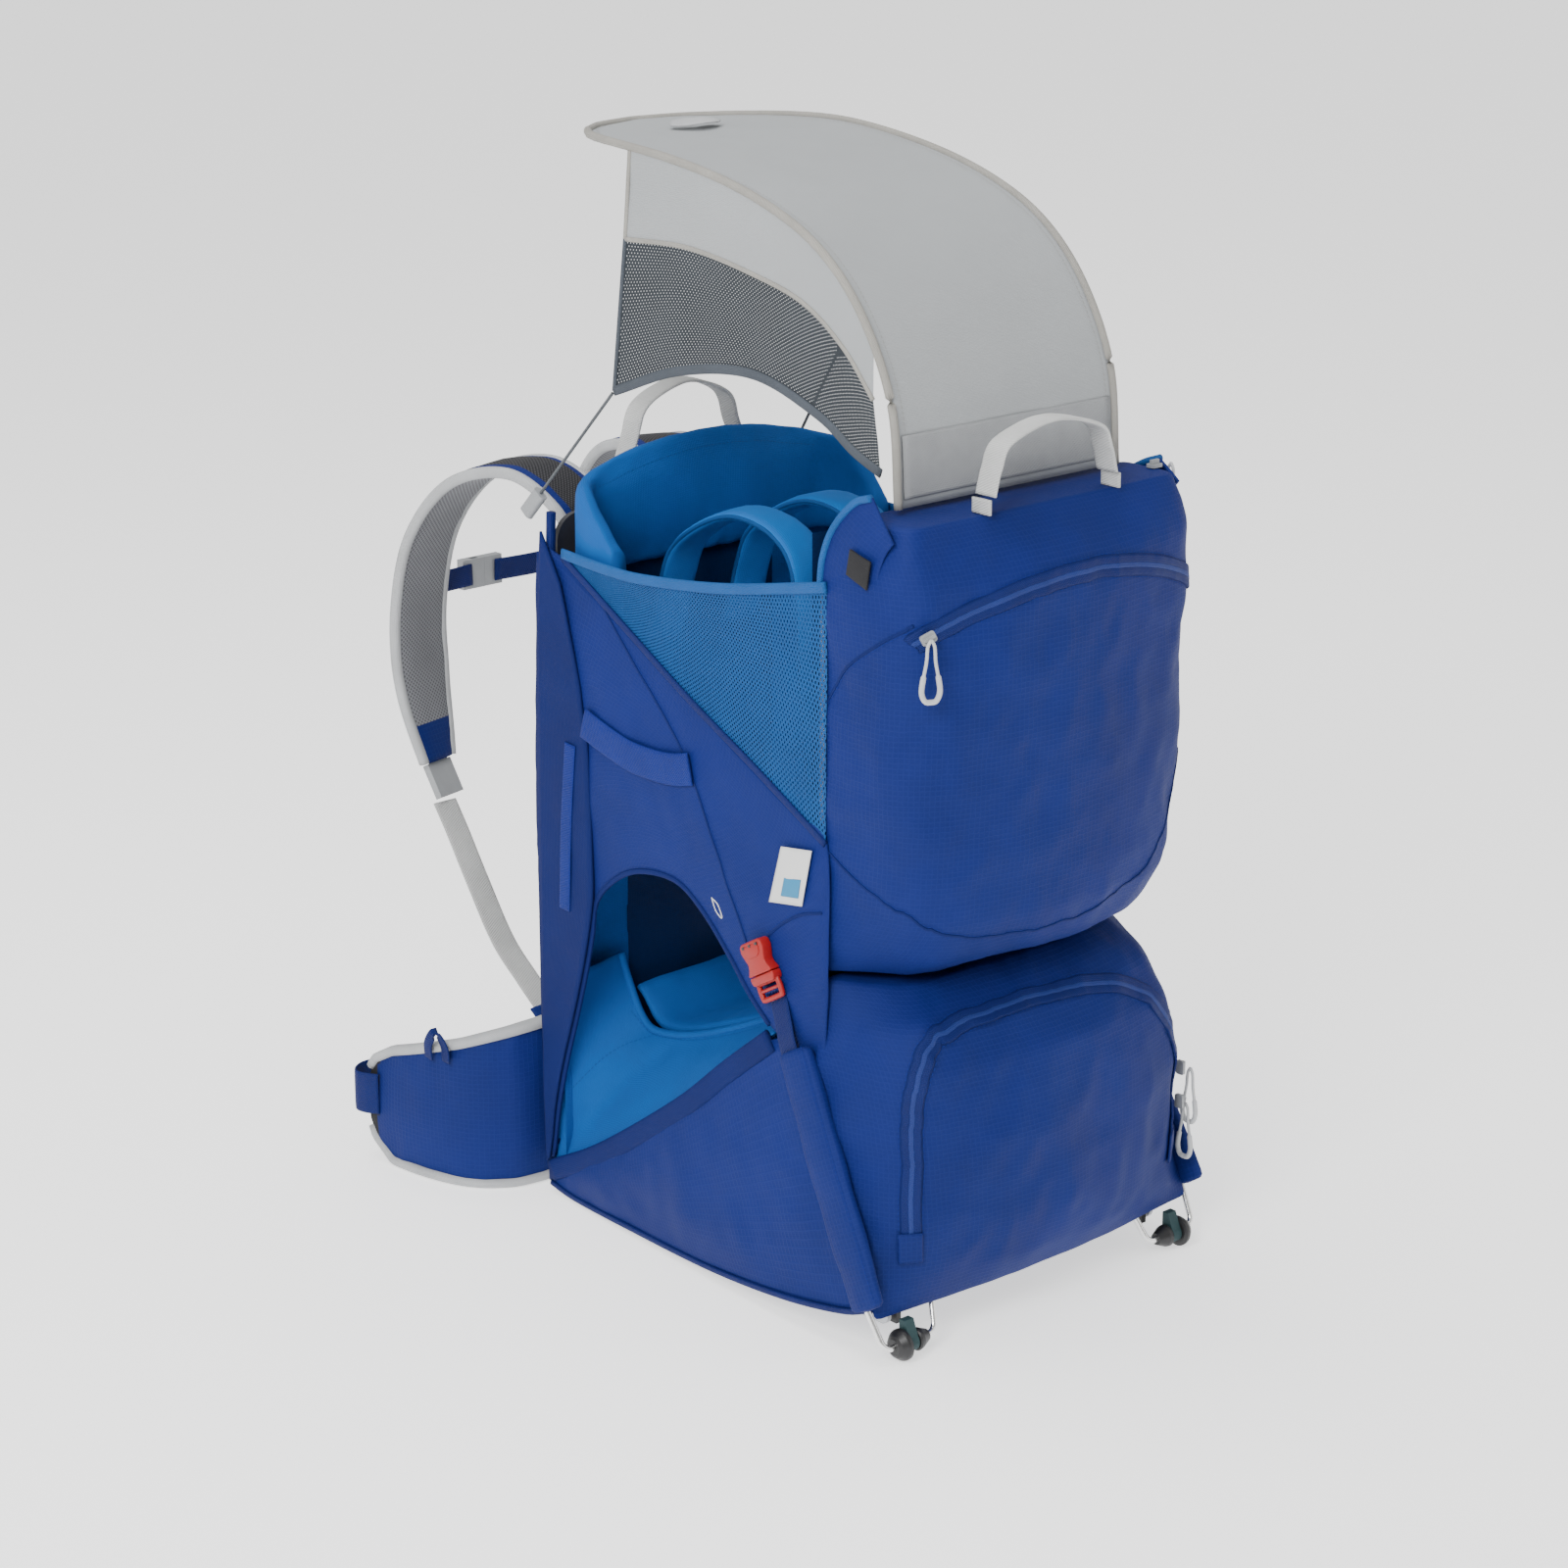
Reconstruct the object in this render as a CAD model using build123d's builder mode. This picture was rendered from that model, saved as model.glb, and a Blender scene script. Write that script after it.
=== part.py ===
"""Folding child carrier backpack, in millimetres.

+Z is up, +Y points the way the wearer faces and -Y is the pocket side. The origin is under the middle
of the whole object, on the floor. Lengths that run forward are measured from the kickstand's foot line,
by ahead().
"""

import math
import os

from build123d import *

os.makedirs("parts", exist_ok=True)

# ---------------------------------------------------------------- driving dimensions
FOOT_LINE = -342.6  # y of the line through the two kickstand feet
SHEET_AHEAD = 425.0  # foot line to the cockpit face of the back sheet
FRAME_AHEAD = 439.0  # foot line to the main frame tube
SIDE = 158.0  # half width of the cockpit and the upper pocket
PANEL_IN, PANEL_OUT = 156.0, 158.8  # faces of the fabric side panels
FRAME_TUBE_R = 6.0
HOOP_R = 4.0
WIRE_R = 2.6
WIRE_BORE_R = 2.68
RAIL_LENGTH = 191.0  # pivot to pivot of each side rail
RAIL_Z = 26.0
RAIL_HEIGHT, RAIL_THICK = 15.0, 4.0
PIN_R, PIN_BORE_R = 3.0, 3.06
BASE_PIVOT_AHEAD = 412.0
KNEE_AHEAD = BASE_PIVOT_AHEAD - RAIL_LENGTH
REAR_PIVOT_AHEAD = KNEE_AHEAD - RAIL_LENGTH
WEBBING_WIDE, WEBBING_NARROW, WEBBING_THICK = 25.0, 20.0, 1.8
POCKET_TOP = 660.0
POCKET_BULGE = 27.0  # how far the pocket's middle stands behind its corners
BUCKLE_CENTRE = (150.0, 283.0)  # (ahead, z) of the side release buckle
BUCKLE_IN, BUCKLE_OUT = 163.0, 174.0
SIDES = (("left", -1), ("right", 1))


def ahead(distance):
    """y of a point that far forward of the kickstand's foot line."""
    return FOOT_LINE + distance


def spot(x, distance, z):
    """A point in space from its side, forward and upward places."""
    return (x, ahead(distance), z)


def side_view(points):
    """(ahead, z) pairs as coordinates on Plane.YZ."""
    return [(ahead(d), z) for d, z in points]


def across(x_low, x_high):
    """Plane.YZ at x_low, and how far to extrude it to reach x_high."""
    return Plane.YZ.offset(x_low), x_high - x_low


def span(hand, inner, outer):
    """The lower and upper x of a slice from inner to outer on one side (hand is -1 or +1)."""
    return (inner, outer) if hand > 0 else (-outer, -inner)


def swept_rod(points, bends, radius):
    """Adds a round rod of straight runs and tangent arcs to the part being built."""
    with BuildLine() as route:
        FilletPolyline(*points, radius=bends)
    with BuildSketch(Plane(origin=route.line @ 0, z_dir=route.line % 0)) as section:
        Circle(radius)
    sweep(section.sketch, path=route.line)


def band(plane, points, thick, depth, mode=Mode.ADD):
    """Adds a strip depth wide, half each side, whose edge-on view is a smooth curve through points."""
    with BuildSketch(plane) as edge_on:
        with BuildLine():
            Spline(*points)
        trace(line_width=thick)
    extrude(edge_on.sketch, amount=depth / 2, both=True, mode=mode)


def outline(plane, points, depth, mode=Mode.ADD):
    """Adds a plate with straight edges through points."""
    with BuildSketch(plane) as face:
        with BuildLine():
            Polyline(*points, close=True)
        make_face()
    extrude(face.sketch, amount=depth, mode=mode)


def save(builder, name):
    """Labels a finished piece and writes it."""
    builder.part.label = name
    export_step(builder.part, f"parts/{name}.step")


# ---------------------------------------------------------------- main frame and rails
FRAME_HALF = 138.0
FRAME_LOW, FRAME_HIGH = 15.0, 604.0
half_frame = [(0, FRAME_LOW), (FRAME_HALF, FRAME_LOW), (FRAME_HALF, FRAME_HIGH), (0, FRAME_HIGH)]
with BuildPart() as main_frame_tube:
    swept_rod([spot(x, FRAME_AHEAD, z) for x, z in half_frame], [26.0, 62.0], FRAME_TUBE_R)
    mirror(about=Plane.YZ)
save(main_frame_tube, "main_frame_tube")

PAD_X, PAD_HALF_X, PAD_TOP = 92.0, 17.0, 22.0
with BuildPart() as frame_floor_pads:
    for _, hand in SIDES:
        with BuildSketch(Plane.YZ.offset(hand * PAD_X)):
            with Locations((ahead(FRAME_AHEAD), PAD_TOP / 2)):
                RectangleRounded(20, PAD_TOP, 4)
            with Locations((ahead(FRAME_AHEAD), FRAME_LOW)):
                Circle(FRAME_TUBE_R + 0.1, mode=Mode.SUBTRACT)
        extrude(amount=PAD_HALF_X, both=True)
save(frame_floor_pads, "frame_floor_pads")

FRONT_BAR = (145.0, 145.0 + RAIL_THICK)  # inner and outer x of the front rails
REAR_BAR = (FRONT_BAR[1] + 0.5, FRONT_BAR[1] + 0.5 + RAIL_THICK)
EAR_OUT = FRONT_BAR[1] + 0.5
with BuildPart() as rail_brackets:
    for _, hand in SIDES:
        for inner, outer in ((FRONT_BAR[0] - 4.0, FRONT_BAR[0] - 0.5), (EAR_OUT, EAR_OUT + 3.5)):
            plane, depth = across(*span(hand, inner, outer))
            ear = [(404, 18), (404, 34), (420, 38), (432, 38), (432, 18)]
            outline(plane, side_view(ear), depth)
        plane, depth = across(*span(hand, FRONT_BAR[0] - 4.0, EAR_OUT + 3.5))
        bridge = [(421, 18), (421, 38), (432, 38), (432, 18)]
        outline(plane, side_view(bridge), depth)
        with BuildSketch(plane):
            with Locations((ahead(BASE_PIVOT_AHEAD), RAIL_Z)):
                Circle(PIN_R)
        extrude(amount=depth)
save(rail_brackets, "rail_brackets")


def rail_bar(hand, bar, start, end):
    """Adds one flat rail with round ends, with an eye at each end that is asked for."""
    plane, depth = across(*span(hand, *bar))
    with BuildSketch(plane) as face:
        with Locations((ahead((start + end) / 2), RAIL_Z)):
            SlotCenterToCenter(abs(end - start), RAIL_HEIGHT)
    extrude(face.sketch, amount=depth)


def rail_eye(hand, bar, distance):
    """Cuts the pin's bore in a rail's end."""
    plane, depth = across(*span(hand, *bar))
    with BuildSketch(plane) as eye:
        with Locations((ahead(distance), RAIL_Z)):
            Circle(PIN_BORE_R)
    extrude(eye.sketch, amount=depth, mode=Mode.SUBTRACT)


CROSS_TUBE_R = 5.0
with BuildPart() as front_rails:
    with BuildSketch(Plane.YZ):
        with Locations((ahead(KNEE_AHEAD), RAIL_Z)):
            Circle(CROSS_TUBE_R)
    extrude(amount=FRONT_BAR[0], both=True)
    for _, hand in SIDES:
        rail_bar(hand, FRONT_BAR, BASE_PIVOT_AHEAD, KNEE_AHEAD)
        rail_eye(hand, FRONT_BAR, BASE_PIVOT_AHEAD)
        plane, depth = across(*span(hand, FRONT_BAR[1], REAR_BAR[1] + 1.0))
        with BuildSketch(plane):
            with Locations((ahead(KNEE_AHEAD), RAIL_Z)):
                Circle(PIN_R)
        extrude(amount=depth)
save(front_rails, "front_rails")

with BuildPart() as rear_rails:
    for _, hand in SIDES:
        rail_bar(hand, REAR_BAR, KNEE_AHEAD, REAR_PIVOT_AHEAD)
        rail_eye(hand, REAR_BAR, KNEE_AHEAD)
        rail_eye(hand, REAR_BAR, REAR_PIVOT_AHEAD)
save(rear_rails, "rear_rails")

# ---------------------------------------------------------------- back sheet, pads and collar
with BuildPart() as back_sheet:
    with BuildSketch(Plane.XZ.offset(-ahead(SHEET_AHEAD + 6.5))):
        with Locations((0, 312)):
            RectangleRounded(2 * (SIDE - 10), 574, 22)
        with Locations((-147, 26), (147, 26)):
            Rectangle(20, 40, mode=Mode.SUBTRACT)
    extrude(amount=5.0)
save(back_sheet, "back_sheet")

BACK_PAD_NEAR, BACK_PAD_FAR = 446.0, 463.0
with BuildPart() as back_pad:
    with BuildSketch(Plane.XZ.offset(-ahead(BACK_PAD_FAR))):
        with Locations((0, 360)):
            RectangleRounded(250, 440, 40)
    extrude(amount=BACK_PAD_FAR - BACK_PAD_NEAR)
    fillet(back_pad.edges().group_by(Axis.Y)[-1], 6)
save(back_pad, "back_pad")

with BuildPart() as edge_covers:
    for _, hand in SIDES:
        plane, depth = across(*span(hand, 148.5, 155.5))
        cover = [(433, 40), (444, 40), (452, 300), (450, 560), (433, 575)]
        outline(plane, side_view(cover), depth)
save(edge_covers, "edge_covers")

COLLAR_THICK = 17.0
COLLAR_MID, COLLAR_END, COLLAR_CORNER_Z, COLLAR_LOW = 652.0, 396.0, 622.0, 548.0
with BuildPart() as cockpit_collar:
    with BuildSketch(Plane.XY.offset(COLLAR_LOW)):
        with BuildLine():
            half = PANEL_IN - 0.6 - COLLAR_THICK / 2
            near, far = ahead(COLLAR_END), ahead(SHEET_AHEAD - 1 - COLLAR_THICK / 2)
            FilletPolyline((-half, near), (-half, far), (half, far), (half, near), radius=15)
        trace(line_width=COLLAR_THICK)
    extrude(amount=COLLAR_MID - COLLAR_LOW)
    with BuildSketch(Plane.XZ.offset(-ahead(SHEET_AHEAD))):
        with BuildLine():
            rim = ThreePointArc((-SIDE, COLLAR_CORNER_Z), (0, COLLAR_MID), (SIDE, COLLAR_CORNER_Z))
            Polyline(rim @ 1, (SIDE, COLLAR_LOW), (-SIDE, COLLAR_LOW), rim @ 0)
        make_face()
    extrude(amount=60, mode=Mode.INTERSECT)
save(cockpit_collar, "cockpit_collar")

# ---------------------------------------------------------------- fabric sides
MESH_TOP = [(406, 573), (313, 570), (206, 581), (101, 602)]
MESH_TIP = (101, 409)
SIDE_PANEL_EDGE = [
    (430, 44),
    (426, 44),
    (373, 268),
    (364, 292),
    (317, 323),
    (268, 322),
    (232, 306),
    (202, 281),
    (180, 256),
    (150, 262),
    (101, 300),
    (101, 405),
    (404, 568),
    (430, 575),
]
HEM = [(428, 42), (361, 62), (258, 131), (197, 182), (150, 222)]
SLEEVE_FRONT = [(128, 214), (98, 154), (62, 92), (46, 52)]
PANEL_FOOT = [(115, 38), (210, 12), (398, 12), (398, 42)]

SIDE_SHEETS = {
    "side_panels": SIDE_PANEL_EDGE,
    "mesh_panels": [*MESH_TOP, MESH_TIP],
    "lower_side_panels": [*HEM, *SLEEVE_FRONT, *PANEL_FOOT],
}
for name, edge in SIDE_SHEETS.items():
    with BuildPart() as side_sheets:
        for _, hand in SIDES:
            plane, depth = across(*span(hand, PANEL_IN, PANEL_OUT))
            outline(plane, side_view(edge), depth)
    save(side_sheets, name)

with BuildPart() as compartment_floor:
    with BuildSketch(Plane.XY.offset(9.0)):
        with Locations((0, ahead(222))):
            RectangleRounded(272, 352, 20)
    extrude(amount=3.0)
save(compartment_floor, "compartment_floor")

SEAT_HALF, SEAT_THICK = 90.0, 16.0
SEAT_LINE = [(120, 246), (185, 220), (251, 194), (320, 165), (368, 156), (402, 182)]
with BuildPart() as seat_pad:
    with BuildSketch(Plane.YZ):
        with BuildLine():
            Spline(*side_view(SEAT_LINE))
        trace(line_width=SEAT_THICK)
    extrude(amount=SEAT_HALF, both=True)
save(seat_pad, "seat_pad")

APRON_THICK = 3.0
APRON_ENDS = ((392, 168, 62), (152, 226, 224))  # ahead, z beside the seat, z beside the hem
with BuildPart() as seat_aprons:
    for _, hand in SIDES:
        for distance, inner_z, outer_z in APRON_ENDS:
            with BuildSketch(Plane.XZ.offset(-ahead(distance))):
                with BuildLine():
                    Polyline(
                        (hand * (SEAT_HALF + 2), inner_z),
                        (hand * (PANEL_IN - 2), outer_z),
                        (hand * (PANEL_IN - 2), outer_z + APRON_THICK),
                        (hand * (SEAT_HALF + 2), inner_z + APRON_THICK),
                        close=True,
                    )
                make_face()
        loft()
save(seat_aprons, "seat_aprons")

HALO_ARCH = [(419, 482), (408, 507), (400, 535), (385, 566), (348, 592), (309, 605), (267, 600), (240, 578)]
HALO_BACK = [(232, 530), (225, 450), (214, 360), (205, 290), (201, 236)]
HALO_X, HALO_WIDE, HALO_THICK = 42.0, 38.0, 9.0
CHEST_AHEAD, CHEST_Z = 234.5, 430.0
with BuildPart() as child_harness:
    for x in (-HALO_X, HALO_X):
        band(Plane.YZ.offset(x), side_view(HALO_ARCH + HALO_BACK), HALO_THICK, HALO_WIDE)
    with BuildSketch(Plane.XZ.offset(-ahead(CHEST_AHEAD))):
        with Locations((0, CHEST_Z)):
            RectangleRounded(128, 22, 4)
    extrude(amount=6)
save(child_harness, "child_harness")

GEAR_LOOP = [(372, 424), (372, 444), (315, 424), (246, 438), (246, 414), (315, 404)]
LADDER_STRIP = [(384, 262), (400, 262), (400, 412), (384, 412)]
with BuildPart() as side_webbing:
    for _, hand in SIDES:
        plane, depth = across(*span(hand, PANEL_OUT + 0.3, PANEL_OUT + 2.1))
        outline(plane, side_view(GEAR_LOOP), depth)
        outline(plane, side_view(LADDER_STRIP), depth)
save(side_webbing, "side_webbing")

HANDLE_HALF, HANDLE_THICK, HANDLE_WIDE = 66.0, 3.0, 22.0
HANDLE_GAP = 1.2  # between a folded loop and its tabs
FRONT_HANDLE = (443.0, 622.0)  # (ahead, z) of each haul handle's fold line
REAR_HANDLE = (16.0, 673.5)


def handle_loop(fold, height, shoulder):
    """Adds a webbing grab loop that stands on its fold line."""
    distance, base = fold
    arch = [
        (-HANDLE_HALF, base),
        (-shoulder, base + 0.62 * height),
        (0, base + height),
        (shoulder, base + 0.62 * height),
        (HANDLE_HALF, base),
    ]
    band(Plane.XZ.offset(-ahead(distance)), arch, HANDLE_THICK, HANDLE_WIDE)


def handle_tabs(fold, low):
    """Adds the two sewn tabs that a grab loop folds on."""
    distance, base = fold
    for _, hand in SIDES:
        with BuildSketch(Plane.XY.offset(low)) as foot:
            with Locations((hand * (HANDLE_HALF + HANDLE_THICK + HANDLE_GAP), ahead(distance))):
                Rectangle(HANDLE_THICK, HANDLE_WIDE - 2)
        extrude(foot.sketch, amount=base - HANDLE_GAP - low)


with BuildPart() as front_haul_handle:
    handle_loop(FRONT_HANDLE, 68, 50)
save(front_haul_handle, "front_haul_handle")

with BuildPart() as front_handle_tabs:
    handle_tabs(FRONT_HANDLE, 611)
save(front_handle_tabs, "front_handle_tabs")

# ---------------------------------------------------------------- rear frame: kickstand wire and rear hoop
AXLE_Z = 13.0  # height of the foot axle, which is the disc's radius
WIRE_TURN = spot(-167, 106, 196)
HOOP_TURN = spot(-148, 104, 262)
HOOP_TOP = 628.0
run = Vector(*HOOP_TURN) - Vector(*WIRE_TURN)
up_leg = run.normalized()
hoop_start = Vector(*WIRE_TURN) + up_leg * 40
wire_end = hoop_start + up_leg * 15


def mirrored(point):
    """The same point on the other side of the pack."""
    return (-point[0], point[1], point[2])


left_leg = [
    tuple(wire_end),
    WIRE_TURN,
    spot(-184, 26, 62),
    spot(-178, 0, AXLE_Z),
    spot(-124, 0, AXLE_Z),
    spot(-113, 18, 50),
]
WIRE_BENDS = [28.0, 16.0, 9.0, 9.0, 9.0]
with BuildPart() as kickstand_wire:
    right_leg = [mirrored(p) for p in reversed(left_leg)]
    swept_rod(left_leg + right_leg, WIRE_BENDS + WIRE_BENDS[::-1], WIRE_R)
save(kickstand_wire, "kickstand_wire")

hoop_route = [
    tuple(hoop_start),
    HOOP_TURN,
    spot(-148, 104, HOOP_TOP),
    spot(148, 104, HOOP_TOP),
    mirrored(HOOP_TURN),
    mirrored(tuple(hoop_start)),
]
with BuildPart() as rear_hoop:
    swept_rod(hoop_route, [40.0, 45.0, 45.0, 40.0], HOOP_R)
    for point in (hoop_start, Vector(*mirrored(tuple(hoop_start)))):
        direction = Vector(math.copysign(1, -point.X) * abs(up_leg.X), up_leg.Y, up_leg.Z)
        with BuildSketch(Plane(origin=point, z_dir=direction)):
            Circle(WIRE_BORE_R)
        extrude(amount=17, mode=Mode.SUBTRACT)
save(rear_hoop, "rear_hoop")

with BuildPart() as frame_knuckles:
    for point in (hoop_start, Vector(*mirrored(tuple(hoop_start)))):
        direction = Vector(math.copysign(1, -point.X) * abs(up_leg.X), up_leg.Y, up_leg.Z)
        with BuildSketch(Plane(origin=point - direction * 10, z_dir=direction)):
            Circle(7)
            Circle(HOOP_R + 0.1, mode=Mode.SUBTRACT)
        extrude(amount=26)
save(frame_knuckles, "frame_knuckles")

LUG_X = (139.5, 144.5)
LUG_ARM = (58.0, 68.0)  # z of the arm that clears the wire's corner
with BuildPart() as rail_lugs:
    for _, hand in SIDES:
        with BuildSketch(Plane.YZ.offset(hand * 85)):
            with Locations((ahead(18), 55)):
                RectangleRounded(17, 26, 4)
            with Locations((ahead(18), 50)):
                Circle(WIRE_BORE_R, mode=Mode.SUBTRACT)
        extrude(amount=hand * 16)
        plane, depth = across(*span(hand, 100, LUG_X[1]))
        low, high = LUG_ARM
        outline(plane, side_view([(12, low), (38, low), (38, high), (12, high)]), depth)
        plane, depth = across(*span(hand, *LUG_X))
        outline(plane, side_view([(22, 18), (38, 18), (38, high), (22, high)]), depth)
        plane, depth = across(*span(hand, LUG_X[1], REAR_BAR[1] + 1.0))
        with BuildSketch(plane):
            with Locations((ahead(REAR_PIVOT_AHEAD), RAIL_Z)):
                Circle(PIN_R)
        extrude(amount=depth)
save(rail_lugs, "rail_lugs")

DISC_R, SPOOL_CORE_R, SPOOL_BORE_R = 13.0, 5.5, WIRE_BORE_R
SPOOL_PROFILE = [
    (168.5, 6.5),
    (167, 9),
    (162.5, 12.4),
    (160.8, DISC_R),
    (158.5, DISC_R),
    (157.5, 10),
    (157.5, SPOOL_CORE_R),
    (146.5, SPOOL_CORE_R),
    (146.5, 8.5),
    (145, 9.5),
    (142, 9),
    (133, 5),
]
for label, hand in SIDES:
    with BuildPart() as foot_roller:
        with BuildSketch(Plane.XY.offset(AXLE_Z)):
            rim = [(hand * x, ahead(0) + r) for x, r in SPOOL_PROFILE]
            with BuildLine():
                bore = ahead(0) + SPOOL_BORE_R
                Polyline(*rim, (rim[-1][0], bore), (rim[0][0], bore), close=True)
            make_face()
        revolve(axis=Axis(spot(0, 0, AXLE_Z), (1, 0, 0)))
    save(foot_roller, f"foot_roller_{label}")

with BuildPart() as foot_straps:
    for _, hand in SIDES:
        plane, depth = across(*span(hand, 147.2, 156.8))
        with BuildSketch(plane):
            with Locations((ahead(0), AXLE_Z)):
                Circle(SPOOL_CORE_R + 2.2)
            with BuildLine():
                Polyline(*side_view([(-7, 15), (0, 32), (6, 32), (6, 10)]), close=True)
            make_face()
            with Locations((ahead(0), AXLE_Z)):
                Circle(SPOOL_CORE_R + 0.4, mode=Mode.SUBTRACT)
        extrude(amount=depth)
save(foot_straps, "foot_straps")

SLEEVE_WIDE, SLEEVE_DEEP = 26.0, 12.0
with BuildPart() as leg_sleeves:
    for _, hand in SIDES:
        low = Vector(*spot(hand * 181.6, 37.3, 81))
        high = Vector(*spot(hand * 168.6, 98.5, 183))
        with BuildSketch(Plane(origin=low, x_dir=(hand, 0, 0.1), z_dir=high - low)):
            RectangleRounded(SLEEVE_DEEP, SLEEVE_WIDE, 5)
            Circle(WIRE_R + 1.0, mode=Mode.SUBTRACT)
        extrude(amount=(high - low).length)
save(leg_sleeves, "leg_sleeves")

# ---------------------------------------------------------------- pockets
UPPER_SIDE = [
    (97, 293),
    (97, 600),
    (90, 632),
    (72, POCKET_TOP),
    (12, POCKET_TOP),
    (-25, 618),
    (-27, 560),
    (-27, 345),
    (-12, 308),
    (30, 293),
]
LOWER_SIDE = [
    (6, 36),
    (6, 74),
    (16, 74),
    (24, 92),
    (58, 150),
    (90, 205),
    (94, 240),
    (94, 286),
    (30, 284),
    (4, 270),
    (-20, 232),
    (-30, 170),
    (-30, 100),
    (-22, 60),
    (-8, 36),
]


def bulged_pocket(side_points, half, front, low, high, corner):
    """Adds a pocket body: a plan with a gently bulged back, cut to a side view."""
    with BuildSketch(Plane.XY.offset(low)) as plan:
        with BuildLine():
            edge = half - corner
            back = ThreePointArc((-edge, ahead(2)), (0, ahead(2 - POCKET_BULGE)), (edge, ahead(2)))
            Polyline(back @ 1, (half, ahead(2 + corner)), (half, ahead(front)))
            Line((half, ahead(front)), (-half, ahead(front)))
            Polyline((-half, ahead(front)), (-half, ahead(2 + corner)), back @ 0)
        make_face()
    extrude(plan.sketch, amount=high - low)
    plane, depth = across(-half - 1, half + 1)
    outline(plane, side_view(side_points), depth, mode=Mode.INTERSECT)


with BuildPart() as upper_pocket:
    bulged_pocket(UPPER_SIDE, SIDE, 97, 280, POCKET_TOP + 10, 9)
save(upper_pocket, "upper_pocket")

with BuildPart() as lower_pocket:
    bulged_pocket(LOWER_SIDE, SIDE - 1, 94, 36, 290, 9)
save(lower_pocket, "lower_pocket")

ZIP_TILT = math.atan2(34, POCKET_BULGE)  # slope of the upper zip's plane
ZIP_SAG = math.hypot(34, POCKET_BULGE)
ZIP_HALF = 149.0
ZIP_RADIUS = (ZIP_HALF**2 + ZIP_SAG**2) / (2 * ZIP_SAG)
ZIP_PROUD = 1.6
zip_down = Vector(0, math.cos(ZIP_TILT), -math.sin(ZIP_TILT))
zip_axis = Vector(0, math.sin(ZIP_TILT), math.cos(ZIP_TILT))
zip_apex = Vector(*spot(0, -25 - ZIP_PROUD, 612))
zip_centre = zip_apex + zip_down * ZIP_RADIUS
zip_plane = Plane(origin=zip_centre, x_dir=(1, 0, 0), z_dir=zip_axis)

LOWER_ZIP_X = SIDE - 6.0
# ---------------------------------------------------------------- zip sliders and cord pulls
PULL_LENGTH, PULL_WIDTH, PULL_THICK, PULL_BAR = 50.0, 17.0, 3.0, 3.0


def slider_body(plane):
    """Adds a zip slider, a flat body with an upright eye. The plane lies on the zip, z outward."""
    with BuildSketch(plane) as base:
        RectangleRounded(8.5, 12, 2)
    extrude(base.sketch, amount=2.6)
    with BuildSketch(plane.offset(2.6)) as eye:
        Rectangle(2.4, 9)
    extrude(eye.sketch, amount=3.4)


def pull_loop(plane):
    """Adds a cord pull: a long ring that hangs down the plane's -y, from its origin."""
    with BuildSketch(plane) as ring:
        with Locations((0, -PULL_LENGTH / 2)):
            SlotOverall(PULL_LENGTH, PULL_WIDTH, rotation=90)
            hole_length, hole_width = PULL_LENGTH - 2 * PULL_BAR, PULL_WIDTH - 2 * PULL_BAR
            SlotOverall(hole_length, hole_width, rotation=90, mode=Mode.SUBTRACT)
    extrude(ring.sketch, amount=PULL_THICK)


UPPER_SLIDER_ANGLE = 31.0  # from the zip's top, towards the left end
angle = -math.radians(90 + UPPER_SLIDER_ANGLE)
on_zip = zip_plane.from_local_coords(Vector(ZIP_RADIUS * math.cos(angle), ZIP_RADIUS * math.sin(angle), 0))
tangent = (on_zip - zip_centre).cross(zip_axis).normalized()
outward = Vector(-0.45, -0.85, 0.25).normalized()
upper_seat = Plane(origin=on_zip + outward * 1.5, x_dir=tangent.cross(outward), z_dir=outward)
with BuildPart() as upper_zip_slider:
    slider_body(upper_seat)
save(upper_zip_slider, "upper_zip_slider")
upper_hang = on_zip + outward * 9.2
with BuildPart() as upper_zip_pull:
    pull_loop(Plane(origin=upper_hang, x_dir=(0.88, -0.47, 0), z_dir=(-0.47, -0.88, 0)))
save(upper_zip_pull, "upper_zip_pull")

LOWER_SLIDERS = (("a", 158.0, 12.2), ("b", 128.0, 7.6))  # name, height, and how far out the pull hangs
LOWER_SEAT_X, LOWER_SEAT_AHEAD = LOWER_ZIP_X + 7.8, 4.0
for label, height, reach in LOWER_SLIDERS:
    seat = Plane(origin=spot(LOWER_SEAT_X, LOWER_SEAT_AHEAD, height), x_dir=(0, 1, 0), z_dir=(1, 0, 0))
    with BuildPart() as lower_zip_slider:
        slider_body(seat)
    save(lower_zip_slider, f"lower_zip_slider_{label}")
    hang = spot(LOWER_SEAT_X + reach, LOWER_SEAT_AHEAD, height - 3)
    with BuildPart() as lower_zip_pull:
        pull_loop(Plane(origin=hang, x_dir=(0, 1, 0), z_dir=(1, 0, 0)))
    save(lower_zip_pull, f"lower_zip_pull_{label}")

with BuildPart() as shade_zip_slider:
    slider_body(Plane(origin=spot(144, 38, POCKET_TOP + 0.6), x_dir=(0, 1, 0), z_dir=(0, 0, 1)))
save(shade_zip_slider, "shade_zip_slider")
with BuildPart() as shade_zip_pull:
    pull_loop(Plane(origin=spot(162, 38, POCKET_TOP + 2), x_dir=(0, 1, 0), z_dir=(1, 0, 0)))
    with BuildSketch(Plane(origin=spot(150.5, 38, POCKET_TOP + 5), x_dir=(0, 1, 0), z_dir=(1, 0, 0))):
        Rectangle(4, 3)
    extrude(amount=14)
save(shade_zip_pull, "shade_zip_pull")

# ---------------------------------------------------------------- rear handle, label tabs, side buckles
with BuildPart() as rear_haul_handle:
    handle_loop(REAR_HANDLE, 50, 54)
save(rear_haul_handle, "rear_haul_handle")

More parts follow.
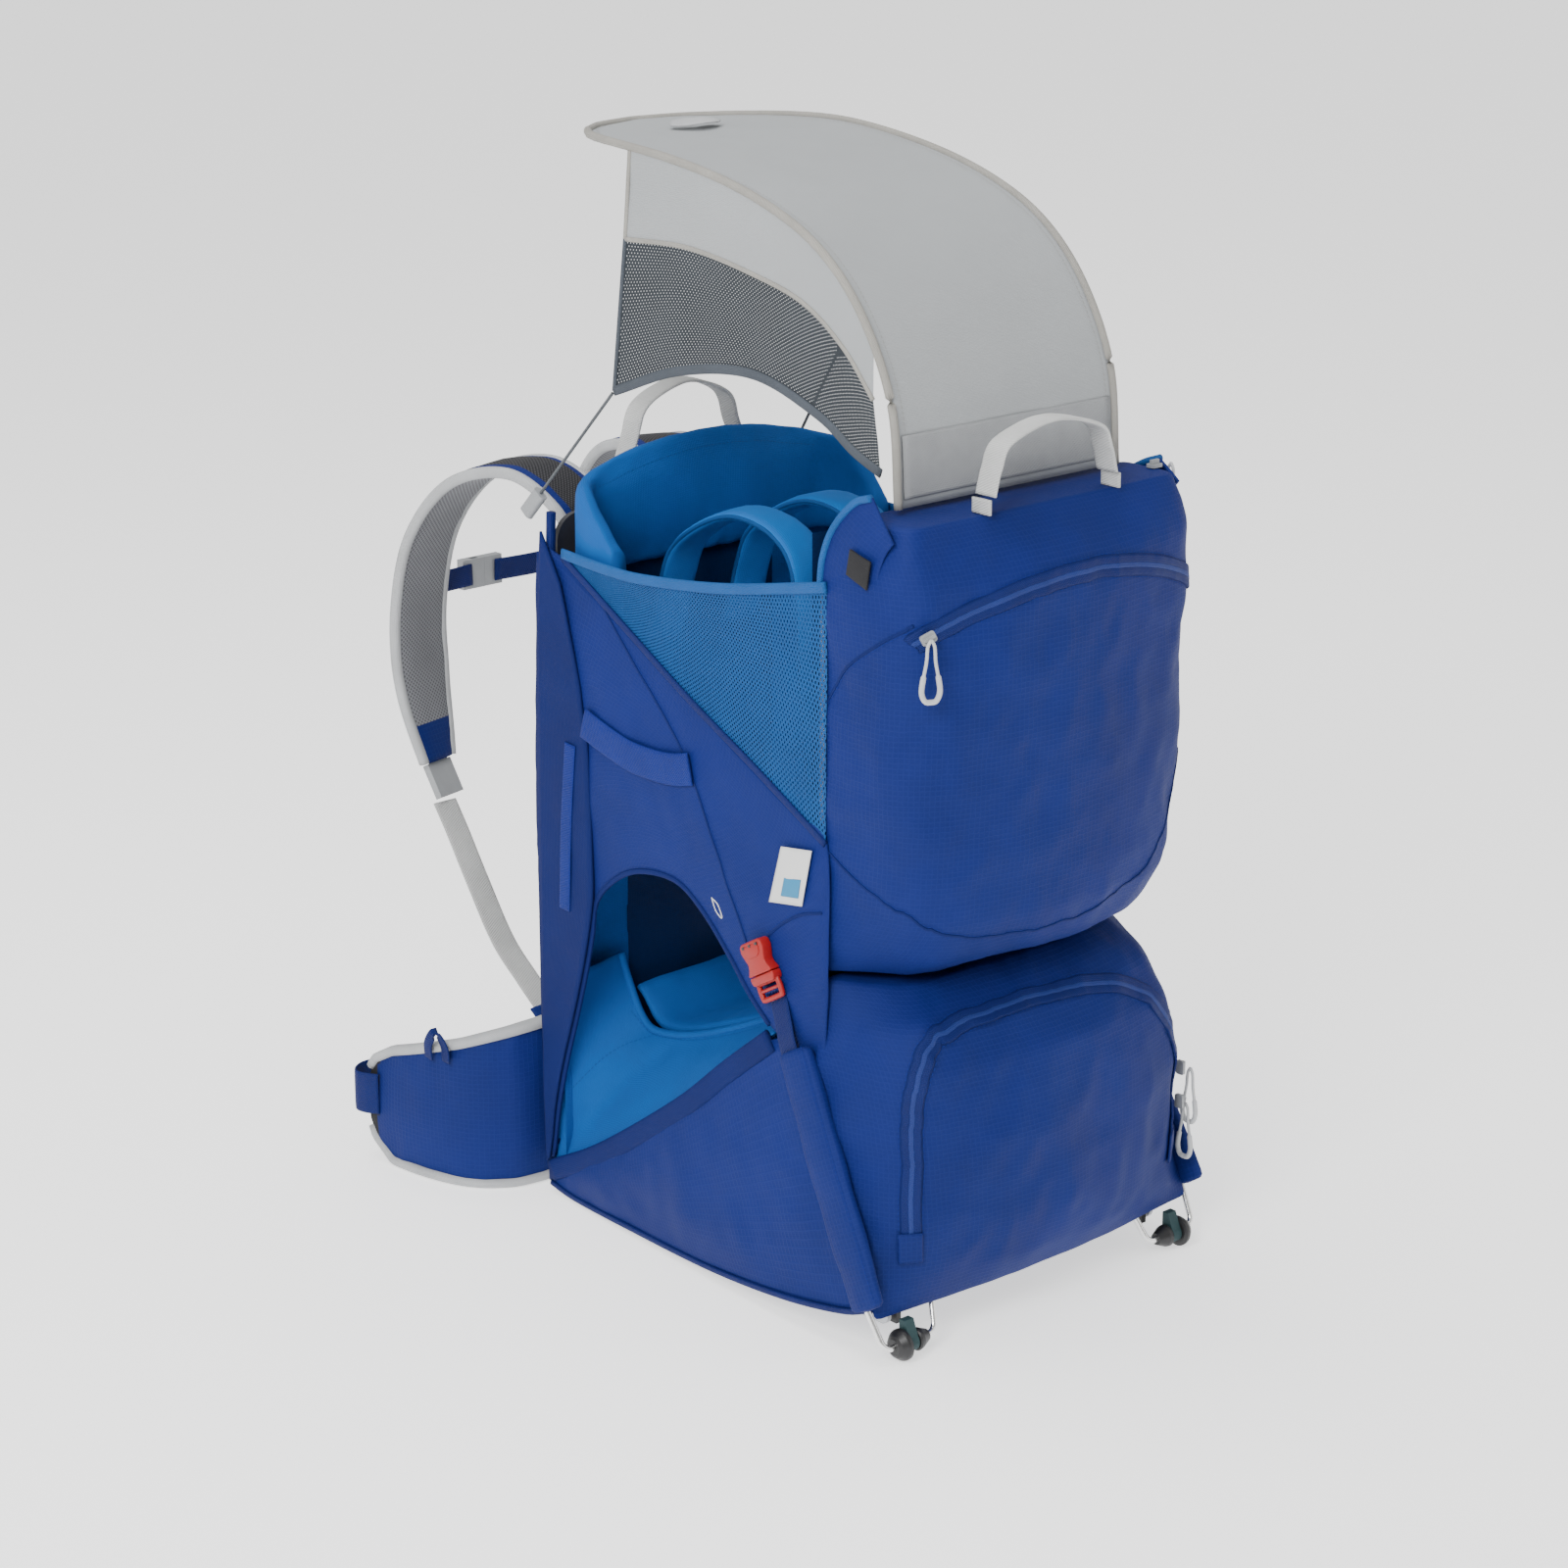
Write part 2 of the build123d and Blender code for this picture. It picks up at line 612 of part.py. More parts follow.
with BuildPart() as rear_handle_tabs:
    handle_tabs(REAR_HANDLE, POCKET_TOP + 0.2)
save(rear_handle_tabs, "rear_handle_tabs")

BUCKLE_HALF, SOCKET_LENGTH, SOCKET_DEEP = 14.5, 27.0, 20.0
PLUG_BASE = 21.0
down_strap = Vector(0, -0.5, -0.866).normalized()


def buckle_plane(hand, inner):
    """On the buckle's inner face: x along the strap towards the foot, z outward."""
    origin = spot(hand * inner, *BUCKLE_CENTRE)
    return Plane(origin=origin, x_dir=down_strap, z_dir=(hand, 0, 0))


def buckle_box(plane, x_low, x_high, y_half, z_low, z_high, mode=Mode.ADD):
    """Adds or cuts a box in the buckle's own frame."""
    with BuildSketch(plane.offset(z_low)) as face:
        with Locations(((x_low + x_high) / 2, 0)):
            Rectangle(x_high - x_low, 2 * y_half)
    extrude(face.sketch, amount=z_high - z_low, mode=mode)


with BuildPart() as side_buckle_sockets:
    for _, hand in SIDES:
        plane = buckle_plane(hand, BUCKLE_IN)
        with BuildSketch(plane):
            with Locations((-SOCKET_LENGTH / 2, 0)):
                RectangleRounded(SOCKET_LENGTH, 2 * BUCKLE_HALF, 4)
        extrude(amount=BUCKLE_OUT - BUCKLE_IN)
        buckle_box(plane, -SOCKET_DEEP, 0, BUCKLE_HALF - 2.5, 2.2, 8.8, Mode.SUBTRACT)
        buckle_box(plane, -13, -5, BUCKLE_HALF, 2.2, 8.8, Mode.SUBTRACT)
        with BuildSketch(plane):
            with Locations((-SOCKET_LENGTH + 3.6, 0)):
                Rectangle(2.4, 20)
        extrude(amount=BUCKLE_OUT - BUCKLE_IN, mode=Mode.SUBTRACT)
save(side_buckle_sockets, "side_buckle_sockets")

for label, hand in SIDES:
    with BuildPart() as side_buckle_plug:
        plane = buckle_plane(hand, BUCKLE_IN)
        with BuildSketch(plane):
            with Locations((PLUG_BASE / 2 + 0.4, 0)):
                RectangleRounded(PLUG_BASE, 2 * BUCKLE_HALF, 4)
            with Locations((9.5, 0), (16.0, 0)):
                Rectangle(3.0, 21, mode=Mode.SUBTRACT)
        extrude(amount=BUCKLE_OUT - BUCKLE_IN)
        for side in (-1, 1):
            with BuildSketch(plane.offset(3.0)):
                with Locations((-8.2, side * (BUCKLE_HALF - 5.2))):
                    Rectangle(18.0, 3.4)
            extrude(amount=5.0)
        buckle_box(plane, -14.0, 1.5, 2.4, 3.6, 7.4)
    save(side_buckle_plug, f"side_buckle_plug_{label}")

with BuildPart() as buckle_webbing:
    for _, hand in SIDES:
        strap = buckle_plane(hand, PANEL_OUT + 0.5)
        buckle_box(strap, -52, -SOCKET_LENGTH + 2, WEBBING_NARROW / 2, 0, WEBBING_THICK)
        buckle_box(strap, PLUG_BASE - 12, 52, WEBBING_NARROW / 2, 0, WEBBING_THICK)
save(buckle_webbing, "buckle_webbing")

# ---------------------------------------------------------------- sunshade
SHADE_HALF = 118.0
SHADE_CURVE = [(56, 662), (64, 740), (95, 802), (140, 846), (200, 874), (280, 893), (380, 903), (500, 900)]
SHADE_SHEET = 1.6
with BuildPart() as shade_canopy:
    band(Plane.YZ, side_view(SHADE_CURVE), SHADE_SHEET, 2 * (SHADE_HALF - 4))
    with BuildSketch(Plane.XY.offset(640)):
        with BuildLine():
            tip = ThreePointArc((-SHADE_HALF, ahead(352)), (0, ahead(497)), (SHADE_HALF, ahead(352)))
            Polyline(tip @ 1, (SHADE_HALF, ahead(40)), (-SHADE_HALF, ahead(40)), tip @ 0)
        make_face()
    extrude(amount=300, mode=Mode.INTERSECT)
save(shade_canopy, "shade_canopy")

SHADE_ROD_R = 3.0
left_edge = [
    spot(-SHADE_HALF, 57, 662),
    spot(-SHADE_HALF, 64, 740),
    spot(-SHADE_HALF, 95, 802),
    spot(-SHADE_HALF, 144, 847),
    spot(-SHADE_HALF, 206, 876),
    spot(-SHADE_HALF, 290, 894),
    spot(-SHADE_HALF, 362, 901),
    spot(-98, 440, 903),
    spot(-40, 501, 902),
]
with BuildPart() as shade_wire:
    swept_rod(left_edge + [mirrored(p) for p in reversed(left_edge)], 50.0, SHADE_ROD_R)
save(shade_wire, "shade_wire")

SHADE_WING_TOP = [(76, 748), (103, 796), (146, 838), (206, 866), (290, 884), (356, 888)]
SHADE_WING_FRONT = [(365, 800), (380, 708), (372, 705)]
SHADE_WING_FOOT = [(307, 733), (260, 743), (214, 743), (136, 722), (86, 690), (70, 690)]
with BuildPart() as shade_sides:
    for _, hand in SIDES:
        plane, depth = across(*span(hand, SHADE_HALF + 4.0, SHADE_HALF + 5.6))
        outline(plane, side_view(SHADE_WING_TOP + SHADE_WING_FRONT + SHADE_WING_FOOT), depth)
save(shade_sides, "shade_sides")

CORD_R = 1.3
CORD_TOP, CORD_LOW = (123.0, 383, 704), (141.0, 456, 612)  # (side, ahead, z) of a tight cord's ends
with BuildPart() as shade_cords:
    for _, hand in SIDES:
        top = Vector(*spot(hand * CORD_TOP[0], *CORD_TOP[1:]))
        low = Vector(*spot(hand * CORD_LOW[0], *CORD_LOW[1:]))
        with BuildSketch(Plane(origin=top, z_dir=low - top)):
            Circle(CORD_R)
        extrude(amount=(low - top).length)
save(shade_cords, "shade_cords")

with BuildPart() as shade_hooks:
    for _, hand in SIDES:
        top = Vector(*spot(hand * CORD_TOP[0], *CORD_TOP[1:]))
        low = Vector(*spot(hand * CORD_LOW[0], *CORD_LOW[1:]))
        with BuildSketch(Plane(origin=low, z_dir=low - top)):
            SlotOverall(14, 8)
        extrude(amount=24)
save(shade_hooks, "shade_hooks")

# ---------------------------------------------------------------- shoulder harness
with BuildPart() as harness_yoke:
    with BuildSketch(Plane.XZ.offset(-ahead(472))):
        with Locations((0, 500)):
            RectangleRounded(190, 110, 22)
    extrude(amount=7.5)
save(harness_yoke, "harness_yoke")

STRAP_SPLAY = 0.217  # how far each strap runs outwards for each step forward
STRAP_ROOT_X, STRAP_ROOT_AHEAD = 58.0, 486.0
STRAP_WIDTH, STRAP_THICK = 70.0, 12.0
STRAP_LINE = [(0, 536), (18, 582), (70, 607), (136, 590), (184, 536), (203, 464), (201, 395), (187, 330)]
WEB_ROOT_X, WEB_ROOT_AHEAD = 102.0, 500.0
WEB_LINE = [(152, 290), (135, 267), (108, 228), (73, 181), (39, 154), (10, 133)]
ANCHOR_LINE = [(8, 131.5), (-14, 118), (-36, 112)]
ANCHOR_THICK = 3.0


def strap_plane(hand, root_x=STRAP_ROOT_X, root_ahead=STRAP_ROOT_AHEAD, splay=STRAP_SPLAY):
    """Upright plane along one strap: x forward along it, y up."""
    return Plane(
        origin=spot(hand * root_x, root_ahead, 0),
        x_dir=(hand * splay, 1, 0),
        z_dir=(1, -hand * splay, 0),
    )


with BuildPart() as shoulder_straps:
    for _, hand in SIDES:
        band(strap_plane(hand), STRAP_LINE, STRAP_THICK, STRAP_WIDTH)
save(shoulder_straps, "shoulder_straps")

with BuildPart() as ladder_locks:
    for _, hand in SIDES:
        end = strap_plane(hand)
        with BuildSketch(end.offset(-15)):
            with Locations((180, 309)):
                Rectangle(32, 7, rotation=62)
        extrude(amount=30)
save(ladder_locks, "ladder_locks")

with BuildPart() as strap_webbing:
    for _, hand in SIDES:
        band(strap_plane(hand, WEB_ROOT_X, WEB_ROOT_AHEAD, 0), WEB_LINE, WEBBING_THICK, WEBBING_WIDE)
save(strap_webbing, "strap_webbing")

with BuildPart() as strap_anchor_tabs:
    for _, hand in SIDES:
        plane = strap_plane(hand, WEB_ROOT_X, WEB_ROOT_AHEAD, 0)
        band(plane, ANCHOR_LINE, ANCHOR_THICK, WEBBING_WIDE)
save(strap_anchor_tabs, "strap_anchor_tabs")

STERNUM_AHEAD, STERNUM_Z = 699.5, 478.0  # the strap's face towards the wearer, and its height
STERNUM_END, STERNUM_BUCKLE_X = 86.0, -14.0
CLIP_DEEP = 4.0
BODY_WIDE, BODY_DEEP = 27.0, 9.0
BODY_SKIN, BODY_SIDE = 1.8, 2.2  # wall thicknesses of the buckle socket


def chest_box(x_low, x_high, half_high, y_low, y_high, mode=Mode.ADD):
    """Adds or cuts a box on the sternum strap; y runs forward from the webbing's far face."""
    outer = ahead(STERNUM_AHEAD + WEBBING_THICK)
    with BuildSketch(Plane.XZ.offset(-(outer + y_high))) as face:
        with Locations(((x_low + x_high) / 2, STERNUM_Z)):
            Rectangle(x_high - x_low, 2 * half_high)
    extrude(face.sketch, amount=y_high - y_low, mode=mode)


socket_end = STERNUM_BUCKLE_X - 24
plug_end = STERNUM_BUCKLE_X + 20
with BuildPart() as sternum_webbing:
    chest_box(-STERNUM_END, socket_end + 10, WEBBING_NARROW / 2, -WEBBING_THICK, 0)
    chest_box(plug_end - 8, STERNUM_END, WEBBING_NARROW / 2, -WEBBING_THICK, 0)
    for _, hand in SIDES:
        inner, outer = span(hand, STERNUM_END - 12, STERNUM_END)
        chest_box(inner, outer, WEBBING_NARROW / 2 + 3, 0, CLIP_DEEP)
save(sternum_webbing, "sternum_webbing")

with BuildPart() as sternum_socket:
    chest_box(socket_end, STERNUM_BUCKLE_X, BODY_WIDE / 2, 0, BODY_DEEP)
    mouth = (BODY_WIDE / 2 - BODY_SIDE, BODY_SKIN, BODY_DEEP - BODY_SKIN)
    chest_box(STERNUM_BUCKLE_X - 19, STERNUM_BUCKLE_X, *mouth, Mode.SUBTRACT)
    windows = (BODY_WIDE / 2, BODY_SKIN, BODY_DEEP - BODY_SKIN)
    chest_box(STERNUM_BUCKLE_X - 13, STERNUM_BUCKLE_X - 5, *windows, Mode.SUBTRACT)
save(sternum_socket, "sternum_socket")

with BuildPart() as sternum_plug:
    chest_box(STERNUM_BUCKLE_X + 0.4, plug_end, BODY_WIDE / 2, 0.4, BODY_DEEP)
    for edge in (-1, 1):
        with BuildSketch(Plane.XZ.offset(-ahead(STERNUM_AHEAD + WEBBING_THICK + BODY_DEEP - 2.4))):
            with Locations((STERNUM_BUCKLE_X - 8, STERNUM_Z + edge * (BODY_WIDE / 2 - 5))):
                Rectangle(18, 3.2)
        extrude(amount=BODY_DEEP - 4.8)
save(sternum_plug, "sternum_plug")

# ---------------------------------------------------------------- hip belt
WING_LINE = [(138, 460), (172, 467), (202, 492), (219, 540), (225, 602)]
WING_LOW, WING_HIGH = 4.0, 150.0
WING_TIP = [(575, 4), (600, 26), (608, 60), (602, 92), (575, 106)]
WING_SHAPE = [(440, 6), (470, 4), *WING_TIP, (500, 132), (440, 150)]
WING_THICK = 14.0
HIP_BELT_Z = 64.0
for label, hand in SIDES:
    with BuildPart() as hip_wing:
        middle = (WING_LOW + WING_HIGH) / 2
        plan = [(hand * x, ahead(d)) for x, d in WING_LINE]
        band(Plane.XY.offset(middle), plan, WING_THICK, WING_HIGH - WING_LOW)
        plane, depth = across(-300, 300)
        outline(plane, side_view(WING_SHAPE), depth, mode=Mode.INTERSECT)
    save(hip_wing, f"hip_wing_{label}")
    with BuildPart() as hip_buckle:
        strap = [(236, 592), (238, 612), (222, 622), (188, 616), (150, 600)]
        band(Plane.XY.offset(HIP_BELT_Z), [(hand * x, ahead(d)) for x, d in strap], 2.4, 38)
        with BuildSketch(Plane.XY.offset(HIP_BELT_Z - 24)):
            with Locations((hand * 122, ahead(590))):
                RectangleRounded(58, 12, 4, rotation=hand * -15)
        extrude(amount=48)
    save(hip_buckle, f"hip_buckle_{label}")
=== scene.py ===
"""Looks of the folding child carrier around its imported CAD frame. Metres; helpers take millimetres."""

import math

import bmesh
import bpy
import numpy as np
from mathutils import Euler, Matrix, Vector, noise
from mathutils.bvhtree import BVHTree


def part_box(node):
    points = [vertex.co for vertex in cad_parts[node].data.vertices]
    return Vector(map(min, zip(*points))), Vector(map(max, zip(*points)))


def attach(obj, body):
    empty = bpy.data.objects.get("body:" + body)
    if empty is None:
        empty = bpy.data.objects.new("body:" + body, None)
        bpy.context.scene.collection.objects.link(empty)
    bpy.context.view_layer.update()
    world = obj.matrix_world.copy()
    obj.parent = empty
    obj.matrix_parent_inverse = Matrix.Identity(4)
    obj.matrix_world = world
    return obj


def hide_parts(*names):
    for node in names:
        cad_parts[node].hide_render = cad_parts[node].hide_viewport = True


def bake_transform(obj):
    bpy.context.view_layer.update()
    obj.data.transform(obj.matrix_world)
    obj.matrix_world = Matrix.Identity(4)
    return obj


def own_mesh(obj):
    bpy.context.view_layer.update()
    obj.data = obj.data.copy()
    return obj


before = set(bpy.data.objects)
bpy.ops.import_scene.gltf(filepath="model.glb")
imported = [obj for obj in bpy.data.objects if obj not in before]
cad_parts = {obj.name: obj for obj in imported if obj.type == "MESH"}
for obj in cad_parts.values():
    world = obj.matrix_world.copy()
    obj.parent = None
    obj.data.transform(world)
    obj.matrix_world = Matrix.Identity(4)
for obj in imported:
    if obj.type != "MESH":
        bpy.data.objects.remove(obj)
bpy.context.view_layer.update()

# ---------------------------------------------------------------- places
MM = 0.001
roller_low, roller_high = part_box("foot_roller_left")
FOOT_LINE = (roller_low.y + roller_high.y) / 2 / MM
SIDES = (("left", -1), ("right", 1))
BACK = 425.0  # the cockpit face of the back sheet, ahead of the foot line
SIDE = 158.0  # half the width between the cloth sides
# How far back the cloth pieces reach, in mm ahead of the foot line.
WALL_REAR = 99
NET_REAR = 97
LOWER_REAR = 22
HEM_REAR = 144
SEAT_REAR = 116
APRON_REAR = 128
HARNESS_REAR = 108
FLOOR_REAR = 44


def at(x, ahead, z):
    """A point from its side, its distance ahead of the foot line and its height, in mm."""
    return Vector((x, FOOT_LINE + ahead, z)) * MM


def places(points, hand=1):
    """Points from (x, ahead, z); hand -1 puts them on the left."""
    return [at(hand * x, d, z) for x, d, z in points]


# ---------------------------------------------------------------- camera
CAMERA_PLACE = (-1974, -1871, 1293)
CAMERA_TILT, CAMERA_HEADING = 72.5, -42.1  # degrees
CAMERA_LENS, SENSOR_WIDTH = 84.4, 36

camera_data = bpy.data.cameras.new("camera")
camera = bpy.data.objects.new("camera", camera_data)
bpy.context.scene.collection.objects.link(camera)
camera.location = at(*CAMERA_PLACE)
camera.rotation_euler = Euler((math.radians(CAMERA_TILT), 0, math.radians(CAMERA_HEADING)))
camera_data.sensor_width = SENSOR_WIDTH
camera_data.lens = CAMERA_LENS
camera_data.clip_end = 50
bpy.context.scene.camera = camera


# ---------------------------------------------------------------- materials
CLOTH_SPECULAR = 0.18
SHEEN_ROUGHNESS = 0.45


def nodes_of(name, colour, roughness, metallic=0.0, sheen=0.0):
    """A new principled material: (material, node tree, shader node)."""
    made = bpy.data.materials.new(name)
    made.use_nodes = True
    tree = made.node_tree
    shader = tree.nodes["Principled BSDF"]
    shader.inputs["Base Color"].default_value = (*colour, 1)
    shader.inputs["Roughness"].default_value = roughness
    shader.inputs["Metallic"].default_value = metallic
    shader.inputs["Sheen Weight"].default_value = sheen
    shader.inputs["Sheen Roughness"].default_value = SHEEN_ROUGHNESS
    shader.inputs["Sheen Tint"].default_value = (*(min(1, c * 1.6 + 0.05) for c in colour), 1)
    if sheen:
        shader.inputs["Specular IOR Level"].default_value = CLOTH_SPECULAR
    return made, tree, shader


def add(tree, kind, **values):
    """Adds a node and sets its inputs by name."""
    node = tree.nodes.new(kind)
    for key, value in values.items():
        label = key.replace("_", " ")
        if label in node.inputs:
            node.inputs[label].default_value = value
        else:
            setattr(node, key, value)
    return node


def maths(tree, operation, a, b):
    """A Math node on two sockets or numbers."""
    node = add(tree, "ShaderNodeMath", operation=operation)
    for socket, value in zip(node.inputs, (a, b)):
        if isinstance(value, (int, float)):
            socket.default_value = value
        else:
            tree.links.new(value, socket)
    return node.outputs[0]


def tint(tree, colour, spread, scale):
    """A colour that drifts slowly over the surface, as dye and handling leave it."""
    coords = add(tree, "ShaderNodeTexCoord")
    cloud = add(tree, "ShaderNodeTexNoise", Scale=scale, Detail=4.0, Roughness=0.6)
    tree.links.new(coords.outputs["Object"], cloud.inputs["Vector"])
    ramp = add(tree, "ShaderNodeValToRGB")
    dark = [c * (1 - spread) for c in colour]
    light = [min(1, c * (1 + spread)) for c in colour]
    ramp.color_ramp.elements[0].position = 0.3
    ramp.color_ramp.elements[1].position = 0.7
    ramp.color_ramp.elements[0].color = (*dark, 1)
    ramp.color_ramp.elements[1].color = (*light, 1)
    tree.links.new(cloud.outputs["Fac"], ramp.inputs["Fac"])
    return ramp.outputs["Color"]


def darken(tree, base, factor, colour):
    """Mixes base towards colour where factor is high."""
    mix = add(tree, "ShaderNodeMix", data_type="RGBA")
    tree.links.new(factor, mix.inputs["Factor"])
    tree.links.new(base, mix.inputs["A"])
    mix.inputs["B"].default_value = (*colour, 1)
    return mix.outputs["Result"]


def surface_coords(tree, axes="UV"):
    """Texture coordinates, whole and split in three."""
    coords = add(tree, "ShaderNodeTexCoord")
    split = add(tree, "ShaderNodeSeparateXYZ")
    tree.links.new(coords.outputs[axes], split.inputs[0])
    return coords.outputs[axes], split.outputs


def bump(tree, shader, height, strength, distance):
    """Relief from a height, distance metres deep."""
    node = add(tree, "ShaderNodeBump", Strength=strength, Distance=distance)
    tree.links.new(height, node.inputs["Height"])
    tree.links.new(node.outputs["Normal"], shader.inputs["Normal"])


def paint(tree, shader, base, factor, colour):
    """The surface's colour: base, going over to colour where factor is high."""
    tree.links.new(darken(tree, base, factor, colour), shader.inputs["Base Color"])


def sine(tree, value, pitch):
    """A wave along value, with a crest or a trough every pitch metres."""
    return maths(tree, "SINE", maths(tree, "MULTIPLY", value, math.pi / pitch), 0)


def threads(tree, u, v, pitch):
    """Height of a plain weave of that pitch in metres: over and under in turn."""
    across = sine(tree, u, pitch)
    down = sine(tree, v, pitch)
    return maths(tree, "ABSOLUTE", maths(tree, "MULTIPLY", across, down), 0)


RIPSTOP_CELL = 0.0042
RIPSTOP_PITCH = 0.0011
WARP_PITCH = 0.0016


def ripstop(name, colour):
    """Packcloth: a fine honeycomb grid over a plain weave."""
    made, tree, shader = nodes_of(name, colour, 0.62, sheen=0.08)
    vector, (u, v, _) = surface_coords(tree)
    base = tint(tree, colour, 0.13, 9)
    comb = add(tree, "ShaderNodeTexVoronoi", Scale=1 / RIPSTOP_CELL, Randomness=0.15)
    comb.feature = "DISTANCE_TO_EDGE"
    comb.voronoi_dimensions = "2D"
    tree.links.new(vector, comb.inputs["Vector"])
    line = add(tree, "ShaderNodeMapRange", From_Min=0.02, From_Max=0.16, To_Min=1.0, To_Max=0.0)
    tree.links.new(comb.outputs["Distance"], line.inputs["Value"])
    grain = threads(tree, u, v, RIPSTOP_PITCH)
    height = maths(tree, "ADD", maths(tree, "MULTIPLY", grain, 0.45), line.outputs[0])
    bump(tree, shader, height, 0.35, 0.0004)
    faint = maths(tree, "MULTIPLY", line.outputs[0], 0.22)
    lighter = [min(1, c * 1.5 + 0.01) for c in colour]
    paint(tree, shader, base, faint, lighter)
    rough = maths(tree, "ADD", maths(tree, "MULTIPLY", grain, -0.1), 0.7)
    tree.links.new(rough, shader.inputs["Roughness"])
    return made


def weave(name, colour, pitch=0.0013, roughness=0.75, sheen=0.1, spread=0.1):
    """Plain woven or knitted cloth."""
    made, tree, shader = nodes_of(name, colour, roughness, sheen=sheen)
    _, (u, v, _) = surface_coords(tree)
    base = tint(tree, colour, spread, 11)
    grain = threads(tree, u, v, pitch)
    bump(tree, shader, grain, 0.4, 0.0004)
    shade = maths(tree, "MULTIPLY", maths(tree, "SUBTRACT", 1.0, grain), 0.3)
    paint(tree, shader, base, shade, [c * 0.6 for c in colour])
    return made


def webbing(name, colour, pitch=0.0022):
    """Ribbed nylon webbing: slanted cross ribs over fine warp threads."""
    made, tree, shader = nodes_of(name, colour, 0.58, sheen=0.06)
    _, (u, v, _) = surface_coords(tree)
    base = tint(tree, colour, 0.1, 30)
    slant = maths(tree, "ADD", maths(tree, "MULTIPLY", u, 0.55), v)
    ribs = maths(tree, "ABSOLUTE", sine(tree, slant, pitch), 0)
    warp = maths(tree, "ABSOLUTE", sine(tree, u, WARP_PITCH), 0)
    height = maths(tree, "ADD", ribs, maths(tree, "MULTIPLY", warp, 0.5))
    bump(tree, shader, height, 0.6, 0.0005)
    shade = maths(tree, "MULTIPLY", maths(tree, "SUBTRACT", 1.0, ribs), 0.45)
    paint(tree, shader, base, shade, [c * 0.5 for c in colour])
    return made


def open_mesh(name, colour, backing, cell=0.0026, hole=0.34, see_through=True):
    """Knitted mesh: rows of holes, open or over a backing colour."""
    made, tree, shader = nodes_of(name, colour, 0.7, sheen=0.1)
    vector, _ = surface_coords(tree)
    base = tint(tree, colour, 0.12, 14)
    dots = add(tree, "ShaderNodeTexVoronoi", Scale=1 / cell, Randomness=0.0)
    dots.voronoi_dimensions = "2D"
    turn = add(tree, "ShaderNodeMapping")
    turn.inputs["Rotation"].default_value = (0, 0, math.radians(45))
    tree.links.new(vector, turn.inputs["Vector"])
    tree.links.new(turn.outputs[0], dots.inputs["Vector"])
    gap = add(tree, "ShaderNodeMapRange", From_Min=hole - 0.06, From_Max=hole + 0.04, To_Min=1.0, To_Max=0.0)
    tree.links.new(dots.outputs["Distance"], gap.inputs["Value"])
    bump(tree, shader, dots.outputs["Distance"], 0.5, 0.0006)
    paint(tree, shader, base, gap.outputs[0], backing)
    if see_through:
        opaque = maths(tree, "SUBTRACT", 1.0, maths(tree, "MULTIPLY", gap.outputs[0], 0.9))
        tree.links.new(opaque, shader.inputs["Alpha"])
    return made


def plastic(name, colour, roughness=0.38, grain=0.0006):
    """Moulded plastic with a fine spark-eroded texture."""
    made, tree, shader = nodes_of(name, colour, roughness)
    coords, _ = surface_coords(tree, "Object")
    base = tint(tree, colour, 0.06, 60)
    fine = add(tree, "ShaderNodeTexNoise", Scale=1 / grain, Detail=2.0)
    tree.links.new(coords, fine.inputs["Vector"])
    bump(tree, shader, fine.outputs["Fac"], 0.12, 0.0002)
    rough = maths(tree, "ADD", maths(tree, "MULTIPLY", fine.outputs["Fac"], 0.16), roughness - 0.08)
    tree.links.new(rough, shader.inputs["Roughness"])
    tree.links.new(base, shader.inputs["Base Color"])
    return made


def metal(name, colour, roughness):
    """Drawn aluminium: fine streaks and slightly uneven polish."""
    made, tree, shader = nodes_of(name, colour, roughness, metallic=1.0)
    coords, _ = surface_coords(tree, "Object")
    streak = add(tree, "ShaderNodeTexNoise", Scale=700.0, Detail=3.0)
    tree.links.new(coords, streak.inputs["Vector"])
    rough = maths(tree, "ADD", maths(tree, "MULTIPLY", streak.outputs["Fac"], 0.18), roughness - 0.08)
    tree.links.new(rough, shader.inputs["Roughness"])
    bump(tree, shader, streak.outputs["Fac"], 0.05, 0.0001)
    tree.links.new(tint(tree, colour, 0.08, 40), shader.inputs["Base Color"])
    return made


